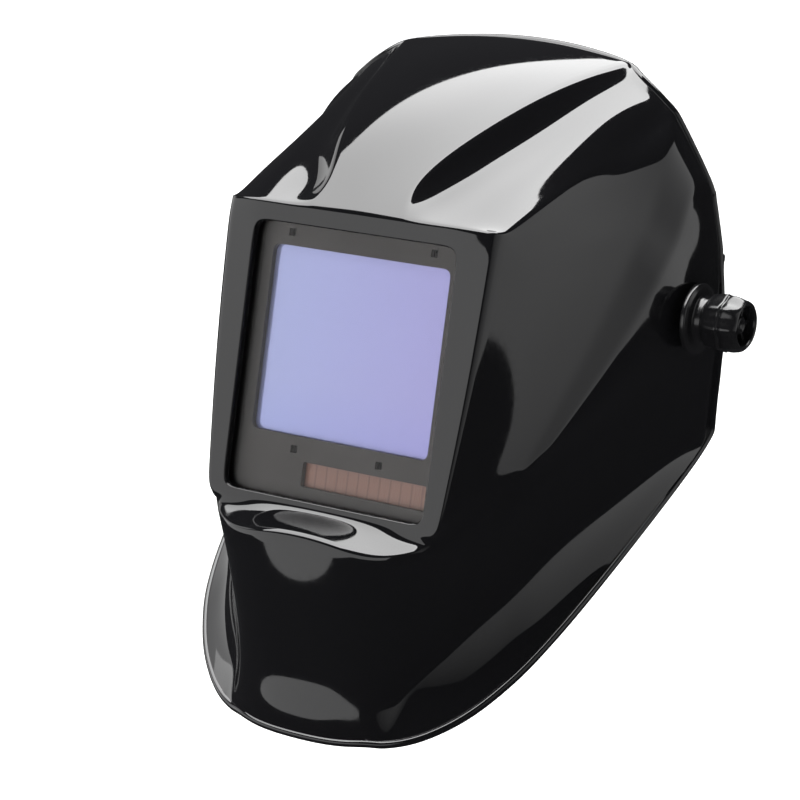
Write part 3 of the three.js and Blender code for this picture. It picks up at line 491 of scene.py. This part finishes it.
def turned(name, profile, look, flutes, segments, place):
    """A turned piece around local X, closed by a flat cap at each end.

    Profile stops are (along the axis, radius, flute depth). place moves the piece where it belongs.
    """
    verts = []
    for along, radius, depth in profile:
        for k in range(segments):
            angle = 2 * math.pi * k / segments
            r = radius - depth * abs(math.sin(flutes * angle / 2)) ** 1.5
            verts.append(place @ Vector((along, r * math.cos(angle), r * math.sin(angle))))
    faces = []
    for i in range(len(profile) - 1):
        low, high = i * segments, (i + 1) * segments
        for k in range(segments):
            n = (k + 1) % segments
            faces.append((low + k, low + n, high + n, high + k))
    faces.append(tuple(range(segments)))
    faces.append(tuple(range((len(profile) - 1) * segments, len(profile) * segments)))
    return make_piece(name, verts, faces, look)


def block_mesh(size, place):
    """Points and faces of a box of a size in mm, moved by a matrix."""
    x, y, z = (s / 2 for s in size)
    corners = [(-x, -y, -z), (x, -y, -z), (x, y, -z), (-x, y, -z)]
    corners += [(-x, -y, z), (x, -y, z), (x, y, z), (-x, y, z)]
    faces = [(0, 3, 2, 1), (4, 5, 6, 7), (0, 1, 5, 4), (1, 2, 6, 5), (2, 3, 7, 6), (3, 0, 4, 7)]
    return [place @ Vector(c) for c in corners], faces


def swept_loop(name, stations, look, section):
    """A section of (side, out) points swept round a closed loop of (middle, side axis, out axis)."""
    verts = []
    for middle, side, out in stations:
        verts += [middle + side * s + out * o for s, o in section]
    n = len(section)
    faces = []
    for i in range(len(stations)):
        a, b = i * n, (i + 1) % len(stations) * n
        faces += [(a + k, a + (k + 1) % n, b + (k + 1) % n, b + k) for k in range(n)]
    return make_piece(name, verts, faces, look)


# ---------------------------------------------------------------- the rolled rim
BEAD = {"inset": 0.9, "sink": 1.1, "half_width": 1.9, "half_depth": 2.1, "sides": 14, "steps": 8}
SHELL_MIDDLE_Y = 20


def spline_loop(points, steps):
    """A closed uniform cubic B-spline through control points, sampled."""
    curve = []
    n = len(points)
    for k in range(n):
        a, b, c, d = (Vector(points[(k + m) % n]) for m in (-1, 0, 1, 2))
        for s in range(steps):
            t = s / steps
            curve.append((a * (1 - t) ** 3 + b * (3 * t ** 3 - 6 * t ** 2 + 4)
                          + c * (-3 * t ** 3 + 3 * t ** 2 + 3 * t + 1) + d * t ** 3) / 6)
    return curve


def cage_point(i, j):
    """A point of the whole cage: a negative column is on the mirrored half."""
    x, y, z = CAGE[ROWS[i]][abs(j)]
    return (-x if j < 0 else x, y, z)


def rim_points(inset):
    """The cage points a number of rows in from the shell's outer edge, all round it."""
    top = len(ROWS) - 1
    loop = [(0, j) for j in range(-SIDE, SIDE)] + [(i, SIDE) for i in range(top)]
    loop += [(top, j) for j in range(SIDE, -SIDE, -1)] + [(i, -SIDE) for i in range(top, 0, -1)]
    limit = SIDE - inset
    return [cage_point(min(max(i, inset), top - inset), min(max(j, -limit), limit)) for i, j in loop]


def rim_bead():
    """The rolled bead round the shell's outer edge, just inside the shell's skin."""
    edge = spline_loop(rim_points(0), BEAD["steps"])
    inner = spline_loop(rim_points(1), BEAD["steps"])
    stations = []
    n = len(edge)
    for k in range(n):
        along = (edge[(k + 1) % n] - edge[k - 1]).normalized()
        inward = inner[k] - edge[k]
        inward = (inward - along * inward.dot(along)).normalized()
        out = along.cross(inward)
        if out.x * edge[k].x + out.y * (edge[k].y - SHELL_MIDDLE_Y) + out.z * edge[k].z < 0:
            out = -out
        stations.append((edge[k] + inward * BEAD["inset"] - out * BEAD["sink"], inward, out))
    angles = [2 * math.pi * k / BEAD["sides"] for k in range(BEAD["sides"])]
    section = [(BEAD["half_width"] * math.cos(a), BEAD["half_depth"] * math.sin(a)) for a in angles]
    return swept_loop("shell_rim_bead", stations, LOOKS["shell"], section)


bead = rim_bead()
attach(bead, "shell")

# ---------------------------------------------------------------- pivots
MIRROR_X = Matrix.Diagonal((-1, 1, 1, 1))
SPOKE_MIDDLE = 135.1
SPOKE_SIZE = (4.4, 18.6, 1.7)
KNOB_PROFILE = [
    (122.5, 3.4, 0), (122.5, 9.4, 0), (122.8, 11.2, 0.1), (123.6, 12.4, 0.5), (125, 13, 0.9),
    (128, 13.4, 1.1), (130.6, 13.7, 1.2), (131.3, 13.8, 1.2), (131.7, 13.5, 1.1), (132, 13.1, 1.0),
    (132.4, 13.1, 1.0), (132.9, 13.4, 1.2), (135, 13.3, 1.3), (137.6, 12.8, 1.2), (139.4, 12, 0.8),
    (140.5, 11.1, 0.3), (141, 10.3, 0), (140.8, 9.7, 0), (140.2, 9.3, 0), (139, 9.2, 0),
    (134, 9.1, 0), (133.8, 8.8, 0), (133.8, 3.4, 0),
]
HUB_PROFILE = [
    (133, 0.5, 0), (133, 4.4, 0), (137.6, 4.2, 0), (138.3, 3.9, 0), (138.5, 3.4, 0),
    (138.4, 2.2, 0), (137.6, 2, 0), (137.4, 0.5, 0),
]
COLLAR_PROFILE = [
    (108.4, 4.4, 0), (108.4, 6, 0), (114.9, 6.1, 0), (114.9, 16, 0), (115.1, 16.4, 0),
    (115.5, 16.5, 0), (116.8, 16.5, 0), (117.3, 16.3, 0), (117.6, 15.8, 0), (117.7, 15.2, 0),
    (118.1, 14.7, 0), (118.2, 14, 0), (118.2, 11.6, 0), (118.4, 11.1, 0), (118.9, 10.6, 0),
    (120, 10.2, 0), (121.6, 10, 0), (122.1, 9.8, 0), (122.2, 9.4, 0), (122.2, 4.4, 0),
]


def tension_knob(side, place):
    """The fluted rim, the hub and the three crossed spokes of one tension knob."""
    knob = turned("tension_knob_%s_fluted" % side, KNOB_PROFILE, LOOKS["knob"], 8, 96, place)
    hub = turned("tension_knob_%s_hub" % side, HUB_PROFILE, LOOKS["knob"], 0, 32, place)
    verts, faces = [], []
    for k in range(3):
        turn = place @ Matrix.Rotation(k * math.pi / 3, 4, "X") @ Matrix.Translation((SPOKE_MIDDLE, 0, 0))
        corners, sides = block_mesh(SPOKE_SIZE, turn)
        faces += [tuple(len(verts) + c for c in face) for face in sides]
        verts += corners
    spokes = rounded(make_piece("tension_knob_%s_spokes" % side, verts, faces, LOOKS["knob"]), 0.3)
    stands_for(knob, "tension_knob_" + side)
    for piece in (hub, spokes):
        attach(piece, "tension_" + side)


for side, place in (("left", Matrix.Identity(4)), ("right", MIRROR_X)):
    tension_knob(side, place)
    collar = turned("pivot_collar_%s_turned" % side, COLLAR_PROFILE, LOOKS["knob"], 0, 72, place)
    stands_for(collar, "pivot_collar_" + side)

# ---------------------------------------------------------------- headgear soft goods
HEAD = {"y": 37.5, "half_width": 77.5, "half_length": 97.5}
REAR_HEIGHT = -44
UP = Vector((0, 0, 1))
THREAD = 0.45
STITCH_SHARE = 0.62
STITCHES_A_ROW = 120
STITCH_FROM_EDGE = 3.4


def oval(angle, standoff, z):
    """A point of the oval round the head, standing off the skin."""
    x = (HEAD["half_width"] + standoff) * math.cos(angle)
    return Vector((x, HEAD["y"] + (HEAD["half_length"] + standoff) * math.sin(angle), z))


def half_height(pad, t):
    """Half a pad's height at a part t of its length: it narrows toward both ends."""
    return (pad["height"] - pad["taper"] * abs(2 * t - 1) ** 4) / 2


def cushion(name, pad):
    """A foam pad in a stitched cloth cover along the oval: pillows between seams, thinner at its edges."""
    rows, around = 220, 44
    start, end, thick = pad["start"], pad["end"], pad["thick"]
    verts, uvs = [], []
    length = 0
    before = None
    for i in range(rows + 1):
        t = i / rows
        angle = start + (end - start) * t
        middle = oval(angle, pad["outer"], pad["z"])
        length += (middle - before).length if before else 0
        before = middle
        out = Vector((math.cos(angle) / HEAD["half_width"], math.sin(angle) / HEAD["half_length"], 0))
        out.normalize()
        half = half_height(pad, t)
        seam = abs((t * pad["seams"]) % 1 - 0.5) * 2
        pillow = 1 - 0.5 * math.exp(-((1 - seam) / 0.09) ** 2)
        closing = min(1, 14 * t, 14 * (1 - t)) ** 0.5 if 0 < t < 1 else 0.25
        half *= 0.9 + 0.1 * closing
        for k in range(around):
            a = 2 * math.pi * k / around
            c, s = math.cos(a), math.sin(a)
            up = half * math.copysign(abs(c) ** 0.45, c)
            swell = math.copysign(abs(s) ** 0.7, s)
            edge = 1 - (abs(up) / half) ** 6 * 0.45
            crumple = 0.12 * math.sin(0.9 * length + 0.35 * up) * math.sin(0.31 * up + 0.21 * length)
            depth = thick * closing * (pillow if s < 0 else 1) * edge + crumple
            verts.append(middle + UP * up + out * (swell - 1) * depth / 2)
            uvs.append((length, up))
    faces = []
    for i in range(rows):
        for k in range(around):
            n = (k + 1) % around
            faces.append((i * around + k, i * around + n, (i + 1) * around + n, (i + 1) * around + k))
    faces.append(tuple(range(around)))
    faces.append(tuple(range(rows * around, (rows + 1) * around)))
    piece = make_piece(name, verts, faces, LOOKS["cloth"])
    layer = piece.data.uv_layers.new(name="cloth")
    for loop in piece.data.loops:
        u, v = uvs[loop.vertex_index]
        layer.data[loop.index].uv = (u * MM, v * MM)
    return piece


def stitches(name, body, path):
    """A row of short thread stitches along a path of points in mm."""
    verts, faces = [], []
    for a, b in zip(path[:-1], path[1:]):
        along = (b - a).normalized()
        turn = along.to_track_quat("X", "Z").to_matrix().to_4x4()
        size = ((b - a).length * STITCH_SHARE, THREAD, THREAD)
        corners, sides = block_mesh(size, Matrix.Translation((a + b) / 2) @ turn)
        faces += [tuple(len(verts) + c for c in face) for face in sides]
        verts += corners
    piece = rounded(make_piece(name, verts, faces, LOOKS["thread"]), 0.18, 2)
    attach(piece, body)
    return piece


SWEAT = {
    "start": -math.pi / 2 - 1.25, "end": -math.pi / 2 + 1.25, "z": 3, "outer": 3.7, "thick": 4.6,
    "height": 34, "taper": 10, "seams": 9,
}
REAR_PAD = {
    "start": math.pi / 2 - 0.52, "end": math.pi / 2 + 0.52, "z": REAR_HEIGHT, "outer": 1.9, "thick": 6,
    "height": 34, "taper": 8, "seams": 3,
}
sweatband = cushion("sweatband_cushion", SWEAT)
stands_for(sweatband, "sweatband")
rear_pad = cushion("rear_pad_cushion", REAR_PAD)
stands_for(rear_pad, "rear_pad")

for name, body, pad in (("sweatband", "headgear", SWEAT), ("rear_pad", "rear_size", REAR_PAD)):
    for edge, side in (("top", 1), ("bottom", -1)):
        path = []
        for k in range(STITCHES_A_ROW + 1):
            t = 0.03 + 0.94 * k / STITCHES_A_ROW
            rise = side * (half_height(pad, t) - STITCH_FROM_EDGE)
            angle = pad["start"] + (pad["end"] - pad["start"]) * t
            path.append(oval(angle, pad["outer"] - pad["thick"] * 0.9, pad["z"] + rise))
        stitches("%s_stitches_%s" % (name, edge), body, path)

# ---------------------------------------------------------------- headgear straps
SLOT_SIDES = 24
SLOT_DEPTH = 8


def strap_section(width, thick):
    """A flat strap's section with softened edges and a shallow ridge along both borders."""
    w, t = width / 2, thick / 2
    top = [(-w, 0), (-w + 0.25, t * 0.8), (-w + 0.8, t), (-w + 1.9, t), (-w + 2.3, t * 0.72),
           (w - 2.3, t * 0.72), (w - 1.9, t), (w - 0.8, t), (w - 0.25, t * 0.8), (w, 0)]
    return top + [(s, -o) for s, o in reversed(top[1:-1])]


def strap(name, stops, thick, look):
    """A flat strap along stops of (middle, across, width), with its width free to vary."""
    verts, faces = [], []
    for k, (middle, across, width) in enumerate(stops):
        along = (stops[min(k + 1, len(stops) - 1)][0] - stops[max(k - 1, 0)][0]).normalized()
        side = (across - along * across.dot(along)).normalized()
        out = along.cross(side)
        verts += [middle + side * s + out * o for s, o in strap_section(width, thick)]
    n = len(verts) // len(stops)
    for k in range(len(stops) - 1):
        a, b = k * n, (k + 1) * n
        faces += [(a + c, a + (c + 1) % n, b + (c + 1) % n, b + c) for c in range(n)]
    faces.append(tuple(range(n)))
    faces.append(tuple(range((len(stops) - 1) * n, len(stops) * n)))
    return make_piece(name, verts, faces, look)


def carved(obj, places, radius, length):
    """Cuts rounded slots through a strap at places (middle, along, out)."""
    verts, faces = [], []
    for middle, along, out in places:
        side = out.cross(along)
        base = len(verts)
        top = base + SLOT_SIDES
        ring = []
        for k in range(SLOT_SIDES):
            a = 2 * math.pi * k / SLOT_SIDES
            shift = length / 2 * (1 if math.cos(a) > 0 else -1)
            ring.append(along * (radius * math.cos(a) + shift) + side * radius * math.sin(a))
        for end in (-1, 1):
            verts += [middle + p + out * end * SLOT_DEPTH / 2 for p in ring]
        for k in range(SLOT_SIDES):
            n = (k + 1) % SLOT_SIDES
            faces.append((base + k, base + n, top + n, top + k))
        faces.append(tuple(base + k for k in reversed(range(SLOT_SIDES))))
        faces.append(tuple(top + k for k in range(SLOT_SIDES)))
    cutter = make_piece("cutter", verts, faces, obj.data.materials[0], smooth=False)
    cut = obj.modifiers.new("Slots", "BOOLEAN")
    cut.object = cutter
    cut.solver = "EXACT"
    bpy.context.view_layer.update()
    evaluated = obj.evaluated_get(bpy.context.evaluated_depsgraph_get())
    data = bpy.data.meshes.new_from_object(evaluated)
    obj.modifiers.remove(cut)
    obj.data = data
    bpy.data.objects.remove(cutter)
    data.shade_smooth()
    data.set_sharp_from_angle(angle=math.radians(40))
    return obj


def smoothstep(value, low, high):
    """Rises smoothly from 0 at low to 1 at high."""
    t = min(max((value - low) / (high - low), 0), 1)
    return t * t * (3 - 2 * t)


def slot_place(stops, k):
    """A place on a strap for a cut: its middle, its direction and its outward axis."""
    middle, across, _ = stops[k]
    along = (stops[k + 1][0] - stops[k - 1][0]).normalized()
    across = (across - along * across.dot(along)).normalized()
    return middle, along, along.cross(across).normalized()


def brow_stops():
    """The browband: round the front of the oval, then straight back and narrower on both sides."""
    off, low, tail = 5.2, 2, 15
    x = HEAD["half_width"] + off
    stops = []
    for k in range(161):
        angle = -math.pi + math.pi * k / 160
        stops.append((oval(angle, off, low), UP, 28))
    for k in range(1, 31):
        t = k / 30
        width = 28 - (28 - tail) * smoothstep(t, 0, 0.35)
        y = HEAD["y"] + t * 40.5
        z = low * (1 - smoothstep(t, 0, 0.35))
        stops.append((Vector((x, y, z)), UP, width))
        stops.insert(0, (Vector((-x, y, z)), UP, width))
    return stops


def crown_stops(lift):
    """One crown strap, up the side and over the top. lift raises its end, where it lies on the other."""
    y = HEAD["y"] + 3.5
    x = HEAD["half_width"] + 7.4
    back = Vector((0, 1, 0))
    stops = [(Vector((x, y, -9 + 27 * k / 8)), back, 15) for k in range(8)]
    for k in range(91):
        angle = (math.pi / 2 + 0.3) * k / 90
        up = math.sin(angle)
        rise = lift * smoothstep(k / 5, 9, 13)
        stops.append((Vector((x * math.cos(angle), y - 4 * up, 18 + 58 * up + rise)), back, 15))
    return stops


def rear_stops(side):
    """One rear strap: straight out of its keeper, round and down the back, and into the ratchet."""
    x, drop, last = 80.1, REAR_HEIGHT, 1.187
    stops = [(Vector((x, 46 + 38 * k / 10, 0)), UP, 13) for k in range(10)]
    for k in range(91):
        angle = last * k / 90
        width = 13 + 7 * smoothstep(angle, 0.1, 0.5)
        z = drop * smoothstep(angle, 0.1, last)
        stops.append((Vector((x * math.cos(angle), 84 + 62.2 * math.sin(angle), z)), UP, width))
    y = 142.35
    stops.append((Vector((24, y, drop + side * 3)), UP, 15))
    stops += [(Vector((x, y, drop + side * 9.2)), UP, 7.5) for x in (15, 0, -21)]
    return stops


def mirror_stops(stops):
    """The same stops on the other side of the head."""
    flip = Matrix.Diagonal((-1, 1, 1))
    return [(flip @ middle, across, width) for middle, across, width in stops]


stops = brow_stops()
places = [slot_place(stops, k) for k in range(42, 180, 12)]
brow = carved(strap("browband_slotted", stops, 2.2, LOOKS["band"]), places, 2.2, 9)
stands_for(brow, "browband")

for side, sign in (("left", 1), ("right", -1)):
    stops = crown_stops(2.1 if sign > 0 else 0)
    stops = stops if sign > 0 else mirror_stops(stops)
    places = [slot_place(stops, k) for k in range(58, 94, 5)] + [slot_place(stops, k) for k in (22, 34, 46)]
    crown = carved(strap("crown_strap_%s_holed" % side, stops, 1.6, LOOKS["band"]), places, 1.9, 0.6)
    stands_for(crown, "crown_strap_" + side)
    stops = rear_stops(sign)
    stops = stops if sign > 0 else mirror_stops(stops)
    places = [slot_place(stops, k) for k in (46, 62, 78)]
    rear = carved(strap("rear_strap_%s_slotted" % side, stops, 2, LOOKS["band"]), places, 2.4, 12)
    stands_for(rear, "rear_strap_" + side)

PIN_PROFILE = [
    (74.4, 0.4, 0), (74.4, 1.6, 0), (79.2, 1.6, 0), (79.4, 2.5, 0), (79.9, 2.6, 0),
    (80.6, 2.1, 0), (81, 1.2, 0), (81.1, 0.3, 0),
]
for k, x in enumerate((-8, 8)):
    upright = Matrix.Translation((x, 37, 0)) @ Matrix.Rotation(-math.pi / 2, 4, "Y")
    pin = turned("crown_snap_pin_%d" % (k + 1), PIN_PROFILE, LOOKS["satin"], 0, 32, upright)
    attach(pin, "headgear")

# ---------------------------------------------------------------- ratchet
RATCHET_PROFILE = [
    (147.8, 2.2, 0), (147.8, 14.6, 0), (148.1, 15.6, 0.3), (149, 16.6, 0.9), (150.4, 17, 1.3),
    (156.6, 16.7, 1.3), (158.8, 16, 0.9), (160, 15, 0.4), (160.6, 13.9, 0), (160.8, 13, 0),
    (160.7, 12.3, 0), (160.1, 11.7, 0), (159.4, 11.2, 0), (159.2, 10, 0), (159.4, 5.2, 0),
    (159.7, 4.4, 0), (160.1, 3.6, 0), (160.2, 1, 0),
]
SCREW_PROFILE = [
    (147.2, 0.5, 0), (147.2, 3, 0), (148.3, 3, 0), (148.7, 2.7, 0), (148.9, 2.2, 0),
    (148.9, 1.5, 0), (148.1, 1.4, 0), (148.1, 0.4, 0),
]
TURN_BACK = Matrix.Rotation(math.pi / 2, 4, "Z")
ratchet = turned("ratchet_knob_fluted", RATCHET_PROFILE, LOOKS["knob"], 12, 144,
                 Matrix.Translation((0, 0, REAR_HEIGHT)) @ TURN_BACK)
stands_for(ratchet, "ratchet_knob")
for k, (x, rise) in enumerate(((-24, 11), (24, 11), (-24, -11), (24, -11))):
    screw = turned("ratchet_screw_%d" % (k + 1), SCREW_PROFILE, LOOKS["steel"], 0, 32,
                   Matrix.Translation((x, 0, REAR_HEIGHT + rise)) @ TURN_BACK)
    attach(screw, "rear_size")

# ---------------------------------------------------------------- finishes of the CAD pieces
NODE_LOOKS = {
    "lens": ["front_cover_lens", "inside_cover_lens"],
    "housing": ["filter_housing_front", "filter_housing_rear"],
    "filter": ["filter_glass"],
    "solar": ["solar_cell"],
    "sensor": ["arc_sensor_1", "arc_sensor_2", "arc_sensor_3", "arc_sensor_4"],
    "board": ["circuit_board"],
    "steel": ["battery_left", "battery_right", "pivot_stud_left", "pivot_stud_right", "retainer_screw_1",
              "retainer_screw_2", "retainer_screw_3", "retainer_screw_4"],
    "satin": ["battery_cap_left", "battery_cap_right", "shade_dial", "sensitivity_dial", "delay_dial",
              "test_button", "cartridge_retainer", "retainer_latch", "reach_slider_left",
              "reach_slider_right", "band_keeper_left", "band_keeper_right", "ratchet_housing",
              "ratchet_pinion"],
    "band": ["side_bracket_left", "side_bracket_right"],
    "washer": ["friction_washer_left", "friction_washer_right"],
}
# Width of the rounding on each finish's edges, in mm.
EDGES = {
    "lens": 0.25, "housing": 0.5, "filter": 0.4, "solar": 0.15, "sensor": 0.3, "board": 0.15,
    "steel": 0.3, "satin": 0.45, "band": 0.5, "washer": 0.3,
}
for look, names in NODE_LOOKS.items():
    for name in names:
        node = frame["nodes"][name]
        node.data.materials.clear()
        node.data.materials.append(LOOKS[look])
        rounded(node, EDGES[look])

# ---------------------------------------------------------------- camera
AZIMUTH = math.radians(33.05)
ELEVATION = math.radians(16.45)
CAMERA_DISTANCE = 1299.9
CAMERA_SHIFT = (21.14, -22.24)
flat = math.cos(ELEVATION)
toward = Vector((math.sin(AZIMUTH) * flat, -math.cos(AZIMUTH) * flat, math.sin(ELEVATION)))
right = Vector((math.cos(AZIMUTH), math.sin(AZIMUTH), 0))
above = toward.cross(right)
camera = bpy.data.objects.new("camera", bpy.data.cameras.new("camera"))
camera.data.sensor_width = 36
camera.data.lens = 130.5
camera.data.clip_end = 20
place = WINDOW_CENTRE + toward * CAMERA_DISTANCE + right * CAMERA_SHIFT[0] + above * CAMERA_SHIFT[1]
camera.location = place * MM
camera.rotation_euler = Matrix((right, above, toward)).transposed().to_euler()
SCENE.collection.objects.link(camera)
SCENE.camera = camera

# ---------------------------------------------------------------- studio
SCENE.view_settings.view_transform = "Standard"
OVERHEAD = 45
FLOOR_HEIGHT = -0.45
FLOOR_SIDE = 12


def studio_world():
    """White where the camera sees past the helmet, and nearly black to light and reflections."""
    world = bpy.data.worlds.new("studio")
    world.use_nodes = True
    tree = world.node_tree
    dark = tree.nodes["Background"]
    dark.inputs["Color"].default_value = (0.03, 0.03, 0.032, 1)
    white = tree.nodes.new("ShaderNodeBackground")
    white.inputs["Color"].default_value = (1, 1, 1, 1)
    path = tree.nodes.new("ShaderNodeLightPath")
    mix = tree.nodes.new("ShaderNodeMixShader")
    link(tree, path, "Is Camera Ray", mix, 0)
    tree.links.new(dark.outputs[0], mix.inputs[1])
    tree.links.new(white.outputs[0], mix.inputs[2])
    tree.links.new(mix.outputs[0], tree.nodes["World Output"].inputs["Surface"])
    return world


def softbox(name, azimuth, elevation, distance, spread, start, end):
    """A lamp panel facing the helmet, from a direction in degrees, with the azimuth from +X.

    spread is its half-angles (sideways, upwards). Its brightness runs from start to end across it:
    sideways, or upwards for a panel overhead.
    """
    width, height = (2 * distance * math.tan(math.radians(a)) for a in spread)
    lamp = bpy.data.lights.new(name, "AREA")
    lamp.shape = "RECTANGLE"
    lamp.size = width
    lamp.size_y = height
    lamp.energy = math.pi * width * height
    lamp.use_nodes = True
    nodes = lamp.node_tree
    place = nodes.nodes.new("ShaderNodeNewGeometry")
    split = nodes.nodes.new("ShaderNodeSeparateXYZ")
    fade = nodes.nodes.new("ShaderNodeMapRange")
    fade.inputs["To Min"].default_value = start
    fade.inputs["To Max"].default_value = end
    link(nodes, place, "Parametric", split, 0)
    link(nodes, split, "Y" if elevation > OVERHEAD else "X", fade, "Value")
    link(nodes, fade, "Result", nodes.nodes["Emission"], "Strength")
    a, e = math.radians(azimuth), math.radians(elevation)
    direction = Vector((math.cos(a) * math.cos(e), math.sin(a) * math.cos(e), math.sin(e)))
    obj = bpy.data.objects.new(name, lamp)
    obj.location = direction * distance
    obj.rotation_euler = direction.to_track_quat("Z", "Y").to_euler()
    SCENE.collection.objects.link(obj)


SCENE.world = studio_world()
softbox("overhead", 158, 69, 3, (42, 26), 6, 12.5)
softbox("front_card", -122, 1, 2.2, (50, 18), 1.6, 1.7)
softbox("left_card", 176, 14, 2.4, (20, 16), 1.4, 1.4)
softbox("right_card", -4, 14, 2.2, (45, 27), 0.12, 1.3)

bpy.ops.mesh.primitive_plane_add(size=FLOOR_SIDE, location=(0, 0, FLOOR_HEIGHT))
floor = bpy.context.object
floor.name = "studio_floor"
floor.visible_glossy = False
floor.visible_shadow = False
paper, _, _ = node_material("floor_paper", (0.3, 0.3, 0.3), 0.9, Emission_Color=(1, 1, 1, 1),
                            Emission_Strength=0.97)
floor.data.materials.append(paper)
